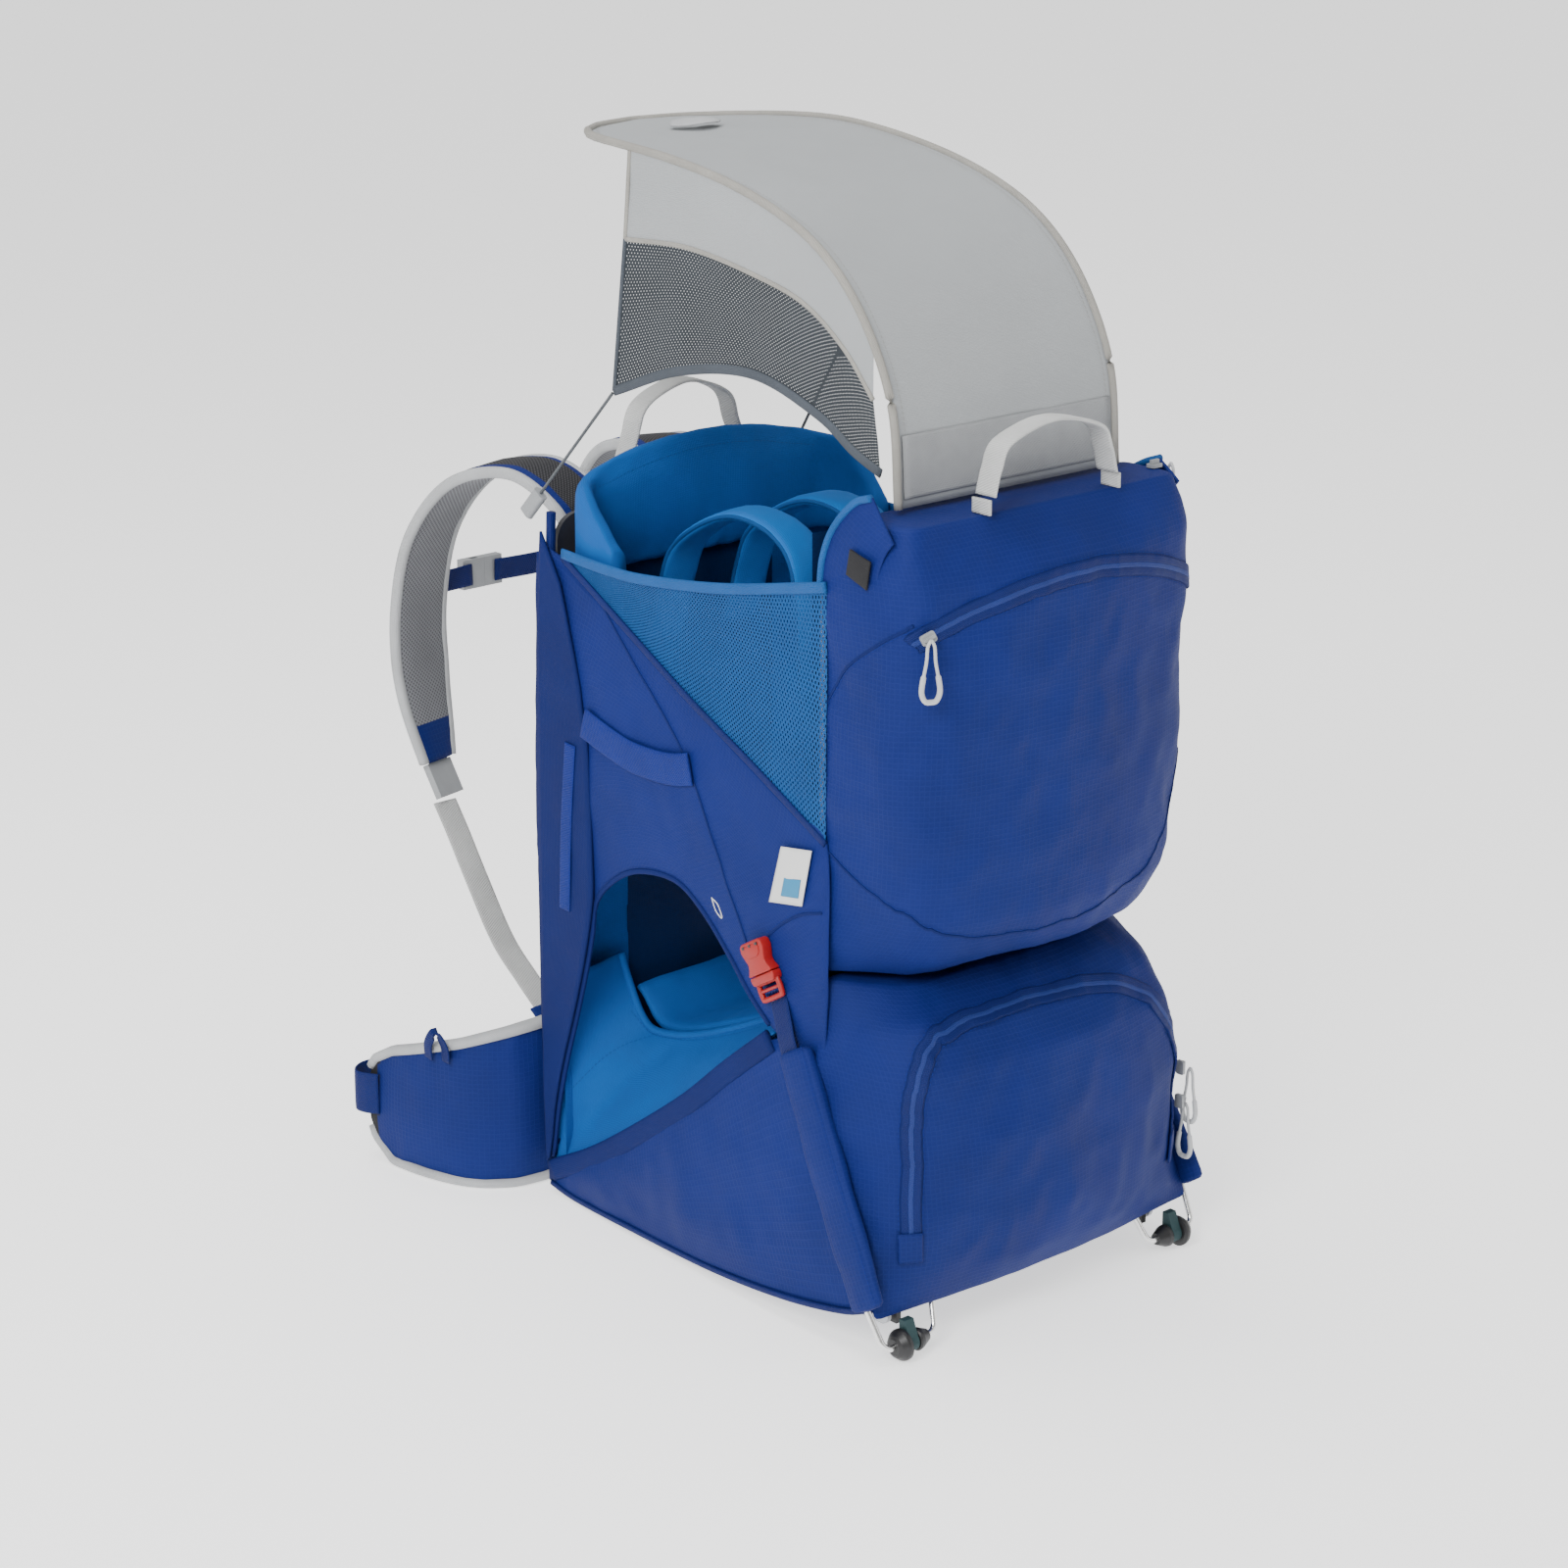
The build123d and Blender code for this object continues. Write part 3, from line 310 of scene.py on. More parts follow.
ROYAL = (0.0018, 0.0098, 0.105)
SKY = (0.003, 0.078, 0.30)
PALE_SKY = (0.007, 0.075, 0.26)
SHADE_GREY = (0.33, 0.345, 0.355)
RIM_GREY = (0.30, 0.29, 0.265)
DARK_MESH = (0.027, 0.032, 0.038)
MESH_GREY = (0.19, 0.195, 0.21)
M = {
    "royal": ripstop("royal_ripstop", ROYAL),
    "royal_plain": weave("royal_plain", [c * 0.82 for c in ROYAL], pitch=0.0015),
    "royal_binding": webbing("royal_binding", [c * 0.9 for c in ROYAL], pitch=0.0016),
    "royal_webbing": webbing("royal_webbing", [c * 0.85 for c in ROYAL]),
    "pocket_elastic": webbing("pocket_elastic", [c * 1.5 for c in ROYAL]),
    "royal_thread": weave("royal_thread", [c * 1.7 for c in ROYAL], pitch=0.0006),
    "sky": weave("sky_lining", SKY, pitch=0.0018, sheen=0.12),
    # painted shade: the dark navy colour of the cockpit's front and rear linings stands in for the shade
    # inside the cockpit
    "lining": weave("painted_shade_lining", (0.0012, 0.016, 0.075), pitch=0.0018, sheen=0.04),
    "halo": weave("halo_cloth", (0.012, 0.15, 0.50), pitch=0.0018, sheen=0.12),
    "sky_thread": weave("sky_thread", (0.002, 0.05, 0.2), pitch=0.0006),
    "sky_binding": webbing("sky_binding", PALE_SKY, pitch=0.0016),
    "sky_mesh": open_mesh("sky_mesh", [c * 0.75 for c in PALE_SKY], [c * 0.25 for c in SKY], hole=0.27),
    "shade": weave("shade_cloth", SHADE_GREY, pitch=0.0012, roughness=0.5, sheen=0.04, spread=0.03),
    "shade_rim": webbing("shade_rim", RIM_GREY, pitch=0.0015),
    "shade_mesh": open_mesh("shade_mesh", DARK_MESH, (0.02, 0.024, 0.028), hole=0.15),
    "shade_edge": webbing("shade_edge", (0.06, 0.07, 0.085), pitch=0.0016),
    "grey_webbing": webbing("grey_webbing", (0.48, 0.485, 0.48)),
    "grey_binding": webbing("grey_binding", (0.42, 0.43, 0.44), pitch=0.0015),
    "shade_base": webbing("shade_base", (0.30, 0.31, 0.32), pitch=0.0015),
    "grey_mesh": open_mesh("grey_mesh", MESH_GREY, (0.07, 0.07, 0.075), cell=0.003, see_through=False),
    "black_mesh": open_mesh("black_mesh", (0.012, 0.012, 0.014), (0.05, 0.05, 0.055), see_through=False),
    "black_foam": weave("black_foam", (0.02, 0.02, 0.022), pitch=0.0016),
    "teal_webbing": webbing("teal_webbing", (0.03, 0.065, 0.07), pitch=0.0018),
    "label": weave("label_cloth", (0.72, 0.72, 0.71), pitch=0.0009, roughness=0.6, sheen=0.0, spread=0.03),
    "label_ink": weave("label_ink", (0.02, 0.22, 0.42), pitch=0.0009, roughness=0.6, sheen=0.0),
    "zip_coil": webbing("zip_coil", (0.014, 0.03, 0.16), pitch=0.0016),
    "red": plastic("red_acetal", (0.3, 0.004, 0.0018), 0.5),
    "grey_plastic": plastic("grey_acetal", (0.26, 0.27, 0.28), 0.4),
    "pull": plastic("pull_rubber", (0.42, 0.43, 0.44), 0.5),
    "black": plastic("black_nylon", (0.012, 0.012, 0.013), 0.42),
    "sheet": plastic("back_sheet_plastic", (0.02, 0.02, 0.024), 0.55, grain=0.0012),
    "wire": metal("bright_wire", (0.80, 0.80, 0.79), 0.24),
    "tube": metal("anodised_tube", (0.42, 0.43, 0.45), 0.36),
    "elastic": webbing("elastic_cord", (0.12, 0.13, 0.14), pitch=0.0012),
}


# ---------------------------------------------------------------- mesh helpers
KNOT_STEPS = 20


def line_through(points, count, smooth=True, even=True):
    """count points on a curve or on straight runs through points: evenly spaced, or knot by knot."""
    knots = np.array([tuple(p) for p in points], float)
    if smooth and len(knots) > 2:
        padded = np.vstack([2 * knots[0] - knots[1], knots, 2 * knots[-1] - knots[-2]])
        dense = []
        for a, b, c, d in zip(padded, padded[1:], padded[2:], padded[3:]):
            for t in np.linspace(0, 1, KNOT_STEPS, endpoint=False):
                square = (2 * a - 5 * b + 4 * c - d) * t**2
                cube = (3 * b - a - 3 * c + d) * t**3
                dense.append(0.5 * (2 * b + (c - a) * t + square + cube))
        knots = np.array(dense + [knots[-1]])
    run = np.r_[0, np.cumsum(np.linalg.norm(np.diff(knots, axis=0), axis=1))]
    if not even:
        run = np.arange(len(knots), dtype=float)
    wanted = np.linspace(0, run[-1], count)
    return np.column_stack([np.interp(wanted, run, knots[:, k]) for k in range(3)])


def link(mesh, name, looks):
    """An object for a mesh, with materials by their names in M."""
    made = bpy.data.objects.new(name, mesh)
    bpy.context.scene.collection.objects.link(made)
    for look in looks:
        mesh.materials.append(M[look])
    for polygon in mesh.polygons:
        polygon.use_smooth = True
    return made


def grid(name, rows, looks, closed=False):
    """A quad mesh through rows of points, UVs in metres. closed joins each row's ends and caps both ends."""
    rows = np.asarray(rows, float)
    m, n = rows.shape[:2]
    span = n if closed else n - 1
    faces, uvs = [], []
    ring = np.concatenate([rows, rows[:, :1]], axis=1) if closed else rows
    u = np.zeros((m, ring.shape[1]))
    u[:, 1:] = np.cumsum(np.linalg.norm(np.diff(ring, axis=1), axis=2), axis=1)
    u -= u[:, -1:] / 2
    v = np.r_[0, np.cumsum(np.linalg.norm(np.diff(rows, axis=0), axis=2).mean(axis=1))]
    for i in range(m - 1):
        for j in range(span):
            k = (j + 1) % n
            faces.append((i * n + j, i * n + k, (i + 1) * n + k, (i + 1) * n + j))
            low, high = v[i], v[i + 1]
            uvs += [(u[i, j], low), (u[i, j + 1], low), (u[i + 1, j + 1], high), (u[i + 1, j], high)]
    if closed:
        for i, flip in ((0, -1), (m - 1, 1)):
            faces.append(tuple(i * n + j for j in range(n))[::flip])
            uvs += [(u[i, j], v[i]) for j in range(n)][::flip]
    mesh = bpy.data.meshes.new(name)
    mesh.from_pydata([tuple(p) for p in rows.reshape(-1, 3)], [], faces)
    layer = mesh.uv_layers.new(name="UVMap")
    for loop, uv in zip(layer.data, uvs):
        loop.uv = uv
    if closed:
        face_out(mesh)
    mesh.update()
    return link(mesh, name, looks)


def face_out(mesh):
    """Turns every face of a closed mesh outwards."""
    work = bmesh.new()
    work.from_mesh(mesh)
    bmesh.ops.recalc_face_normals(work, faces=work.faces)
    work.to_mesh(mesh)
    work.free()


def pill(width, thick, count=20, power=2.6):
    """A rounded section: (across, outward) pairs in metres, from mm."""
    turn = np.linspace(0, 2 * math.pi, count, endpoint=False)
    c, s = np.cos(turn), np.sin(turn)
    a = np.sign(c) * np.abs(c) ** (2 / power) * width / 2
    b = np.sign(s) * np.abs(s) ** (2 / power) * thick / 2
    return np.column_stack([a, b]) * MM


def sections(line, side, profile, swell=None):
    """Rows of a section carried along a line; side is the direction of its width."""
    line = np.asarray(line, float)
    way = np.gradient(line, axis=0)
    way /= np.linalg.norm(way, axis=1)[:, None]
    side = np.broadcast_to(np.array(side, float), line.shape)
    side = side - (side * way).sum(axis=1)[:, None] * way
    side = side / np.linalg.norm(side, axis=1)[:, None]
    out = np.cross(side, way)
    grown = np.ones((len(line), 2)) if swell is None else np.asarray(swell, float)
    rows = []
    for p, s, o, g in zip(line, side, out, grown):
        rows.append([p + a * g[0] * s + b * g[1] * o for a, b in profile])
    return np.array(rows)


def swept(name, line, side, section, looks, swell=None):
    """A closed strip along a line; section is what pill takes."""
    return grid(name, sections(line, side, pill(*section), swell), looks, closed=True)


def tube(name, line, radius, look, side=(0.31, 0.2, 0.93), count=10):
    return swept(name, line, side, (2 * radius, 2 * radius, count, 2.0), [look])


def loft(name, first, last, count, across, looks, bulge=0.0, out=(1, 0, 0), wave=0.0, even=True):
    """A cloth surface between two lines, bulged by up to bulge mm along out."""
    a = line_through(first, count, even=even)
    b = line_through(last, count, even=even)
    rows = []
    out = np.array(out, float)
    for t in np.linspace(0, 1, across):
        row = a * (1 - t) + b * t
        hump = math.sin(math.pi * t) * np.sin(np.pi * np.linspace(0, 1, count)) * bulge * MM
        row = row + hump[:, None] * out
        if wave:
            soft = [noise.noise(Vector(p) * 16) * 0.6 + noise.noise(Vector(p) * 42) * 0.4 for p in row]
            edge = math.sin(math.pi * t) ** 0.6
            row = row + np.array(soft)[:, None] * out * wave * MM * edge
        rows.append(row)
    piece = grid(name, rows, looks)
    facing = sum((Vector(p.normal) * p.area for p in piece.data.polygons), Vector())
    if facing.dot(Vector(out)) < 0:
        piece.data.flip_normals()
    return piece


def thicken(piece, thick, inner=None):
    """Gives a sheet its thickness behind its face; the far face can take another of its materials."""
    solid = piece.modifiers.new("thickness", "SOLIDIFY")
    solid.thickness = thick * MM
    solid.offset = -1.0
    if inner is not None:
        solid.material_offset = inner
    return piece


def rounded(piece):
    soft = piece.modifiers.new("smooth", "SUBSURF")
    soft.levels = 1
    soft.render_levels = 1


def joined(name, pieces):
    """One object from several, their modifiers applied first."""
    graph = bpy.context.evaluated_depsgraph_get()
    for p in pieces:
        if p.modifiers:
            solid = bpy.data.meshes.new_from_object(p.evaluated_get(graph))
            p.modifiers.clear()
            p.data = solid
    first = pieces[0]
    chosen = dict(selected_objects=pieces, selected_editable_objects=pieces)
    with bpy.context.temp_override(active_object=first, object=first, **chosen):
        bpy.ops.object.join()
    first.name = name
    return first


def points_of(piece):
    co = np.zeros(len(piece.data.vertices) * 3)
    piece.data.vertices.foreach_get("co", co)
    return co.reshape(-1, 3)


def move_points(piece, points):
    piece.data.vertices.foreach_set("co", np.asarray(points, float).ravel())
    piece.data.update()


def crumple(piece, depth, scale, seed, keep=None):
    """Soft creases along the normals, deterministic. keep(points) is 0 where nothing moves."""
    base = points_of(piece)
    normals = np.array([v.normal for v in piece.data.vertices])
    shift = Vector((seed * 7.3, seed * 3.1, seed * 1.7))
    amount = []
    for p in base:
        q = Vector(p) * scale + shift
        amount.append(noise.noise(q) + 0.5 * (1 - 2 * abs(noise.noise(q * 2.1))) - 0.25)
    amount = np.array(amount) * depth * MM
    if keep is not None:
        amount *= keep(base)
    move_points(piece, base + normals * amount[:, None])


INFLATE_FRAMES = 14


def inflate(piece, held, pressure, cap):
    """Swells a closed cloth piece by simulation between its held points; a point moves at most cap mm."""
    start = points_of(piece)
    group = piece.vertex_groups.new(name="held")
    for index, weight in enumerate(held(start)):
        group.add([index], float(weight), "REPLACE")
    cloth = piece.modifiers.new("cloth", "CLOTH")
    rules = cloth.settings
    rules.quality = 4
    rules.mass = 0.25
    rules.tension_stiffness = 18
    rules.compression_stiffness = 18
    rules.shear_stiffness = 8
    rules.bending_stiffness = 2.5
    rules.air_damping = 4
    rules.use_pressure = True
    rules.uniform_pressure_force = pressure
    rules.effector_weights.gravity = 0
    rules.vertex_group_mass = "held"
    cloth.collision_settings.use_collision = False
    cloth.point_cache.frame_start = 1
    cloth.point_cache.frame_end = INFLATE_FRAMES
    for step in range(1, INFLATE_FRAMES + 1):
        bpy.context.scene.frame_set(step)
    graph = bpy.context.evaluated_depsgraph_get()
    settled = bpy.data.meshes.new_from_object(piece.evaluated_get(graph))
    piece.modifiers.clear()
    piece.data = settled
    bpy.context.scene.frame_set(1)
    move = points_of(piece) - start
    size = np.linalg.norm(move, axis=1)
    limit = np.minimum(1, cap * MM / np.maximum(size, 1e-9))
    move_points(piece, start + move * limit[:, None])


class Skin:
    """The surface of a finished piece, for laying seams and zips on it."""

    def __init__(self, piece):
        mesh = piece.data
        mesh.calc_loop_triangles()
        corners = [v.co.copy() for v in mesh.vertices]
        self.tree = BVHTree.FromPolygons(corners, [tuple(t.vertices) for t in mesh.loop_triangles])

    def touch(self, point):
        place, normal, _, _ = self.tree.find_nearest(Vector(point))
        return np.array(place), np.array(normal)

    def lay(self, points, count):
        """A line on the surface near points: (places, normals)."""
        found = [self.touch(p) for p in line_through(points, count)]
        places_on, normals = (np.array(x) for x in zip(*found))
        kernel = np.array([1, 2, 3, 2, 1]) / 9
        for k in range(3):
            smooth = np.convolve(np.pad(normals[:, k], 2, mode="edge"), kernel, "valid")
            normals[:, k] = smooth
        normals /= np.linalg.norm(normals, axis=1)[:, None]
        return places_on, normals


def ribbon(name, line, normals, width, lift, thick, look):
    """A flat band that lies along a line on a surface."""
    side = np.cross(normals, np.gradient(line, axis=0))
    return swept(name, line + normals * lift * MM, side, (width, thick, 12, 4.0), [look])


STITCH_PITCH = 4.2
STITCH_LENGTH = 2.7
STITCH_THICK = 0.45


def stitches(name, line, normals, look, lift=0.35):
    """A row of thread stitches along a line on a surface."""
    run = np.r_[0, np.cumsum(np.linalg.norm(np.diff(line, axis=0), axis=1))]
    corners, faces = [], []
    for start in np.arange(0, run[-1] - STITCH_LENGTH * MM, STITCH_PITCH * MM):
        ends = []
        for s in (start, start + STITCH_LENGTH * MM):
            ends.append([np.interp(s, run, line[:, k]) for k in range(3)])
        i = min(int(np.searchsorted(run, start)), len(normals) - 1)
        n = normals[i]
        a, b = (np.array(e) + n * lift * MM for e in ends)
        side = np.cross(n, b - a)
        side = side / (np.linalg.norm(side) + 1e-12) * STITCH_THICK * MM / 2
        up = n * STITCH_THICK * MM / 2
        base = len(corners)
        middle = (a + b) / 2 + up
        corners += [a - side, a + side, middle - side, middle + side, b - side, b + side]
        faces += [(base, base + 1, base + 3, base + 2), (base + 2, base + 3, base + 5, base + 4)]
    mesh = bpy.data.meshes.new(name)
    mesh.from_pydata([tuple(c) for c in corners], [], faces)
    return link(mesh, name, [look])


def offset_line(line, normals, distance):
    way = np.gradient(line, axis=0)
    side = np.cross(normals, way)
    side /= np.linalg.norm(side, axis=1)[:, None]
    return line + side * distance * MM


def settle(piece, body, nodes=(), fold_from=None):
    """Makes a piece ride a body and stand for CAD nodes; with fold_from given, it gets its own copy of its
    mesh.
    """
    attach(piece, body)
    if nodes:
        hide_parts(*nodes)
    if fold_from is not None:
        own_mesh(piece)
    return piece


def sheet(piece, width, length, body, slot, nodes=(), fold_from=None, held="stretched", rests_on=()):
    """Settles a one-layer surface on its body as settle does; width and length are not used."""
    return settle(piece, body, nodes, fold_from)


# ---------------------------------------------------------------- shade cords
CORD_ENDS = [(123, 383, 704), (141, 456, 612)]
CORD_THICK = 2.6


def shade_cord(label, hand):
    """The elastic cord pulled tight from the sunshade's corner to its hook."""
    top, low = places(CORD_ENDS, hand)
    curve = bpy.data.curves.new(f"shade_cord_{label}", "CURVE")
    curve.dimensions = "3D"
    curve.bevel_depth = CORD_THICK / 2 * MM
    curve.bevel_resolution = 4
    spline = curve.splines.new("NURBS")
    spline.points.add(2)
    for point, share in zip(spline.points, (0, 0.5, 1)):
        point.co = (*top.lerp(low, share), 1)
    spline.order_u = 3
    spline.use_endpoint_u = True
    piece = bpy.data.objects.new(f"shade_cord_{label}", curve)
    bpy.context.scene.collection.objects.link(piece)
    curve.materials.append(M["elastic"])
    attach(piece, "sunshade")
    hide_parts("shade_cords")


for label, hand in SIDES:
    shade_cord(label, hand)


# ---------------------------------------------------------------- pockets
POCKET_AROUND = 150  # points around a pocket
UPPER_LOW, UPPER_TOP = 293, 660
LOWER_LOW, LOWER_TOP = 36, 288
HELD_UPPER = (0.297, 0.652)  # in metres: the simulation holds the cloth below and above these
HELD_LOWER = (0.042, 0.281)
POCKET_PRESSURE = 1.6


def plan_ring(z, front_half, front, rear_half, rear, bulge, corner, count):
    """One level of a pocket: a closed plan with rounded rear corners and a bulged back."""
    xs = np.linspace(-1, 1, 9)
    back = [(x * rear_half, rear - bulge * (1 - x * x)) for x in xs]
    outline = [(-front_half, front), *back, (front_half, front)]
    radii = [6] + [corner] + [8] * 7 + [corner] + [6]
    soft = []
    total = len(outline)
    for i, (p, r) in enumerate(zip(outline, radii)):
        p = np.array(p)
        for_in, for_out = np.array(outline[i - 1]) - p, np.array(outline[(i + 1) % total]) - p
        r_in = min(r, 0.48 * np.linalg.norm(for_in))
        r_out = min(r, 0.48 * np.linalg.norm(for_out))
        a = p + for_in / np.linalg.norm(for_in) * r_in
        b = p + for_out / np.linalg.norm(for_out) * r_out
        for t in np.linspace(0, 1, 7):
            soft.append((1 - t) ** 2 * a + 2 * t * (1 - t) * p + t * t * b)
    ring = np.array(soft + [soft[0]])
    run = np.r_[0, np.cumsum(np.linalg.norm(np.diff(ring, axis=0), axis=1))]
    wanted = np.linspace(0, run[-1], count, endpoint=False)
    x, d = (np.interp(wanted, run, ring[:, k]) for k in range(2))
    return np.array([at(a, b, z) for a, b in zip(x, d)])


def pocket_body(name, levels, table):
    """A closed bag from plan rings; table maps each plan size to (heights, values)."""
    rings = []
    for z in levels:
        sizes = {key: float(np.interp(z, *pair)) for key, pair in table.items()}
        rings.append(plan_ring(z, count=POCKET_AROUND, **sizes))
    low, high = rings[0], rings[-1]
    start = [low.mean(axis=0) * (1 - s) + low * s for s in np.linspace(0.06, 0.94, 7)]
    end = [high.mean(axis=0) * (1 - s) + high * s for s in np.linspace(0.94, 0.06, 7)]
    return grid(name, [*start, *rings, *end], ["royal"], closed=True)


UPPER = {
    "front_half": ([293, 330, 600, 640, 660], [154, 158, 158, 155, 149]),
    "front": ([293, 600, 632, 660], [98, 98, 91, 72]),
    "rear_half": ([293, 318, 360, 430, 560, 640, 660], [104, 126, 145, 155, 157, 153, 148]),
    "rear": ([293, 308, 345, 560, 618, 640, 660], [48, 22, 6, 3, 5, 8, 14]),
    "bulge": ([293, 308, 345, 560, 618, 640, 660], [12, 24, 29, 28, 26, 11, 1]),
    "corner": ([293, 345, 430, 600, 660], [60, 46, 30, 26, 20]),
}
LOWER = {
    "front_half": ([36, 120, 200, 240, 288], [185, 181, 176, 168, 156]),
    "front": ([36, 60, 100, 150, 205, 240, 288], [10, 22, 42, 68, 92, 97, 97]),
    "rear_half": ([36, 80, 170, 225, 258, 288], [150, 153, 155, 150, 136, 112]),
    "rear": ([36, 60, 100, 170, 232, 262, 288], [8, 2, -1, -1, 4, 16, 46]),
    "bulge": ([36, 60, 100, 170, 232, 262, 288], [10, 20, 27, 28, 23, 18, 10]),
    "corner": ([36, 100, 200, 288], [26, 30, 40, 50]),
}


def make_pockets():
    upper = pocket_body("upper_pocket_body", np.linspace(UPPER_LOW, UPPER_TOP, 56), UPPER)
    lower = pocket_body("lower_pocket_body", np.linspace(LOWER_LOW, LOWER_TOP, 42), LOWER)
    upper_front, lower_front = at(0, 84, 0).y, at(0, 70, 0).y

    def held_upper(p):
        ends = (p[:, 2] > HELD_UPPER[1]) * 1.0 + (p[:, 2] < HELD_UPPER[0])
        return np.clip((p[:, 1] - upper_front) / 0.012, 0, 1) + ends

    def held_lower(p):
        return (p[:, 2] > HELD_LOWER[1]) * 1.0 + (p[:, 2] < HELD_LOWER[0]) + (p[:, 1] > lower_front)

    def soft_top(p):
        return np.clip((UPPER_TOP * MM - p[:, 2]) / 0.03, 0.15, 1)

    def firm_foot(p):
        return np.clip((p[:, 2] - LOWER_LOW * MM) / 0.05, 0.2, 1)

    inflate(upper, held_upper, POCKET_PRESSURE, cap=6)
    inflate(lower, held_lower, POCKET_PRESSURE, cap=7)
    crumple(upper, 3.4, 11, 1, soft_top)
    crumple(upper, 1.3, 34, 4, soft_top)
    crumple(lower, 4.2, 12, 2, firm_foot)
    crumple(lower, 1.4, 36, 5, firm_foot)
    for piece, node in ((upper, "upper_pocket"), (lower, "lower_pocket")):
        settle(piece, "rear_frame", [node])
        rounded(piece)
    return Skin(upper), Skin(lower)


def zip_line(name, skin, points, count):
    """A covered zip: two tape halves over a coil, stitched down both sides."""
    line, normals = skin.lay(points, count)
    parts = [
        ribbon(name + "_tape", line, normals, 17, 0.3, 1.6, "royal_plain"),
        ribbon(name + "_coil", line, normals, 4.2, 1.1, 1.9, "zip_coil"),
    ]
    for gap in (-4.6, 4.6):
        lip = offset_line(line, normals, gap)
        parts.append(ribbon(name + "_lip", lip, normals, 6.4, 1.0, 1.7, "royal_binding"))
    for gap in (-9.6, 9.6):
        row = offset_line(line, normals, gap)
        parts.append(stitches(name + "_row", row, normals, "royal_thread"))
    settle(joined(name, parts), "rear_frame")


WELT_GAP = 2.4


def seam(name, skin, points, count, body="rear_frame", fold_from=None):
    """A stitched seam: a raised welt with a row of stitches beside it."""
    line, normals = skin.lay(points, count)
    welt = ribbon(name + "_welt", line, normals, 2.2, 0.1, 1.3, "royal_plain")
    row = stitches(name + "_row", offset_line(line, normals, WELT_GAP), normals, "royal_thread")
    settle(joined(name, [welt, row]), body, fold_from=fold_from)


ZIP_HALF, ZIP_BACK, ZIP_DROP = 149, 27, 34  # the upper zip's arc: half its span, its bow and its fall
ZIP_TOP = 612
LOWER_ZIP = [
    (-151, 104), (-152, 160), (-150, 212), (-136, 249), (-97, 268), (-30, 271),
    (40, 263), (92, 246), (128, 214), (146, 172), (153, 136), (154, 100),
]
BASE_SEAM = [
    (-159, 92, 398), (-158, 50, 372), (-153, 6, 350), (-118, -18, 330), (-60, -26, 321),
    (20, -27, 324), (84, -22, 344), (130, -8, 384), (152, 4, 436),
]
SHOULDER_SEAM = [(-152, 4, 590), (-158, 34, 572), (-159, 70, 545), (-159, 94, 512)]


def make_zips(upper, lower):
    tilt = math.atan2(ZIP_DROP, ZIP_BACK)
    sag = math.hypot(ZIP_DROP, ZIP_BACK)
    radius = (ZIP_HALF**2 + sag**2) / (2 * sag)
    arc = []
    for turn in np.radians(np.linspace(-34, 34, 15)):
        fall = radius * (1 - math.cos(turn))
        ahead = math.cos(tilt) * fall - ZIP_BACK
        arc.append(at(radius * math.sin(turn), ahead, ZIP_TOP - math.sin(tilt) * fall))
    zip_line("upper_zip", upper, arc, 120)
    zip_line("lower_zip", lower, [at(x, 0, z) for x, z in LOWER_ZIP], 150)
    seam("upper_base_seam", upper, places(BASE_SEAM), 110)
    seam("upper_shoulder_seam", upper, places(SHOULDER_SEAM), 50)
    for label, hand in SIDES:
        garage, normals = lower.lay(places([(152, 0, 106), (151, 0, 80)], hand), 8)
        flap = ribbon(f"zip_garage_{label}", garage, normals, 20, 1.6, 2.4, "royal")
        settle(flap, "rear_frame")


upper_skin, lower_skin = make_pockets()
make_zips(upper_skin, lower_skin)


# ---------------------------------------------------------------- fabric sides
SLEEVE_TOP, SLEEVE_FOOT = (113, 231), (11, 45)  # (ahead, z) of the leg sleeve's ends


def flare(ahead, z):
    """How far out the side stands: the kickstand spreads its rear foot."""
    low = max(0.0, min(1.0, (300 - z) / 260))
    rearward = max(0.0, min(1.0, (BACK - ahead) / 300))
    return SIDE + 20 * low * rearward


def side_points(hand, pairs, out=1.0):
    """(ahead, z) pairs, out mm outside the side's own line."""
    return [at(hand * (flare(d, z) + out), d, z) for d, z in pairs]


def band_side(hand, line):
    """The direction of a band's width where it lies flat on a side."""
    return np.cross((hand, 0, 0), np.gradient(line, axis=0))


HEM = [(436, 20), (361, 61), (258, 133), (197, 185), (147, 226)]
FOOT_EDGE = [(436, 9), (402, 5), (323, 6), (210, 10), (115, 20), (46, 32), (14, 44)]
ARCH = [
    (434, 34), (424, 88), (411, 133), (398, 171), (384, 217), (375, 253), (369, 284), (341, 311),
    (308, 325), (266, 327), (233, 309), (201, 281), (176, 257), (150, 238),
]
ARCH_REAR = [(118, 226), (84, 222)]
ARCH_TOP = [
    (432, 577), (426, 575), (418, 572), (408, 569), (396, 563), (384, 556), (366, 547), (334, 529),
    (300, 510), (262, 489), (226, 471), (190, 452), (156, 435), (122, 418),
]
TOP_REAR = [(89, 401), (86, 306)]
BAND_SEAM = [
    (406, 548), (393, 504), (383, 468), (380, 450), (374, 418), (371, 362), (370, 320), (370, 288),
    (376, 253), (385, 217), (399, 171), (412, 133), (425, 88), (434, 34),
]
BAND_FRONT = [
    (430, 588), (434, 540), (437, 500), (438, 480), (439, 440), (440, 390), (441, 340), (441, 300),
    (441, 262), (441, 224), (441, 176), (440, 136), (440, 92), (438, 30),
]


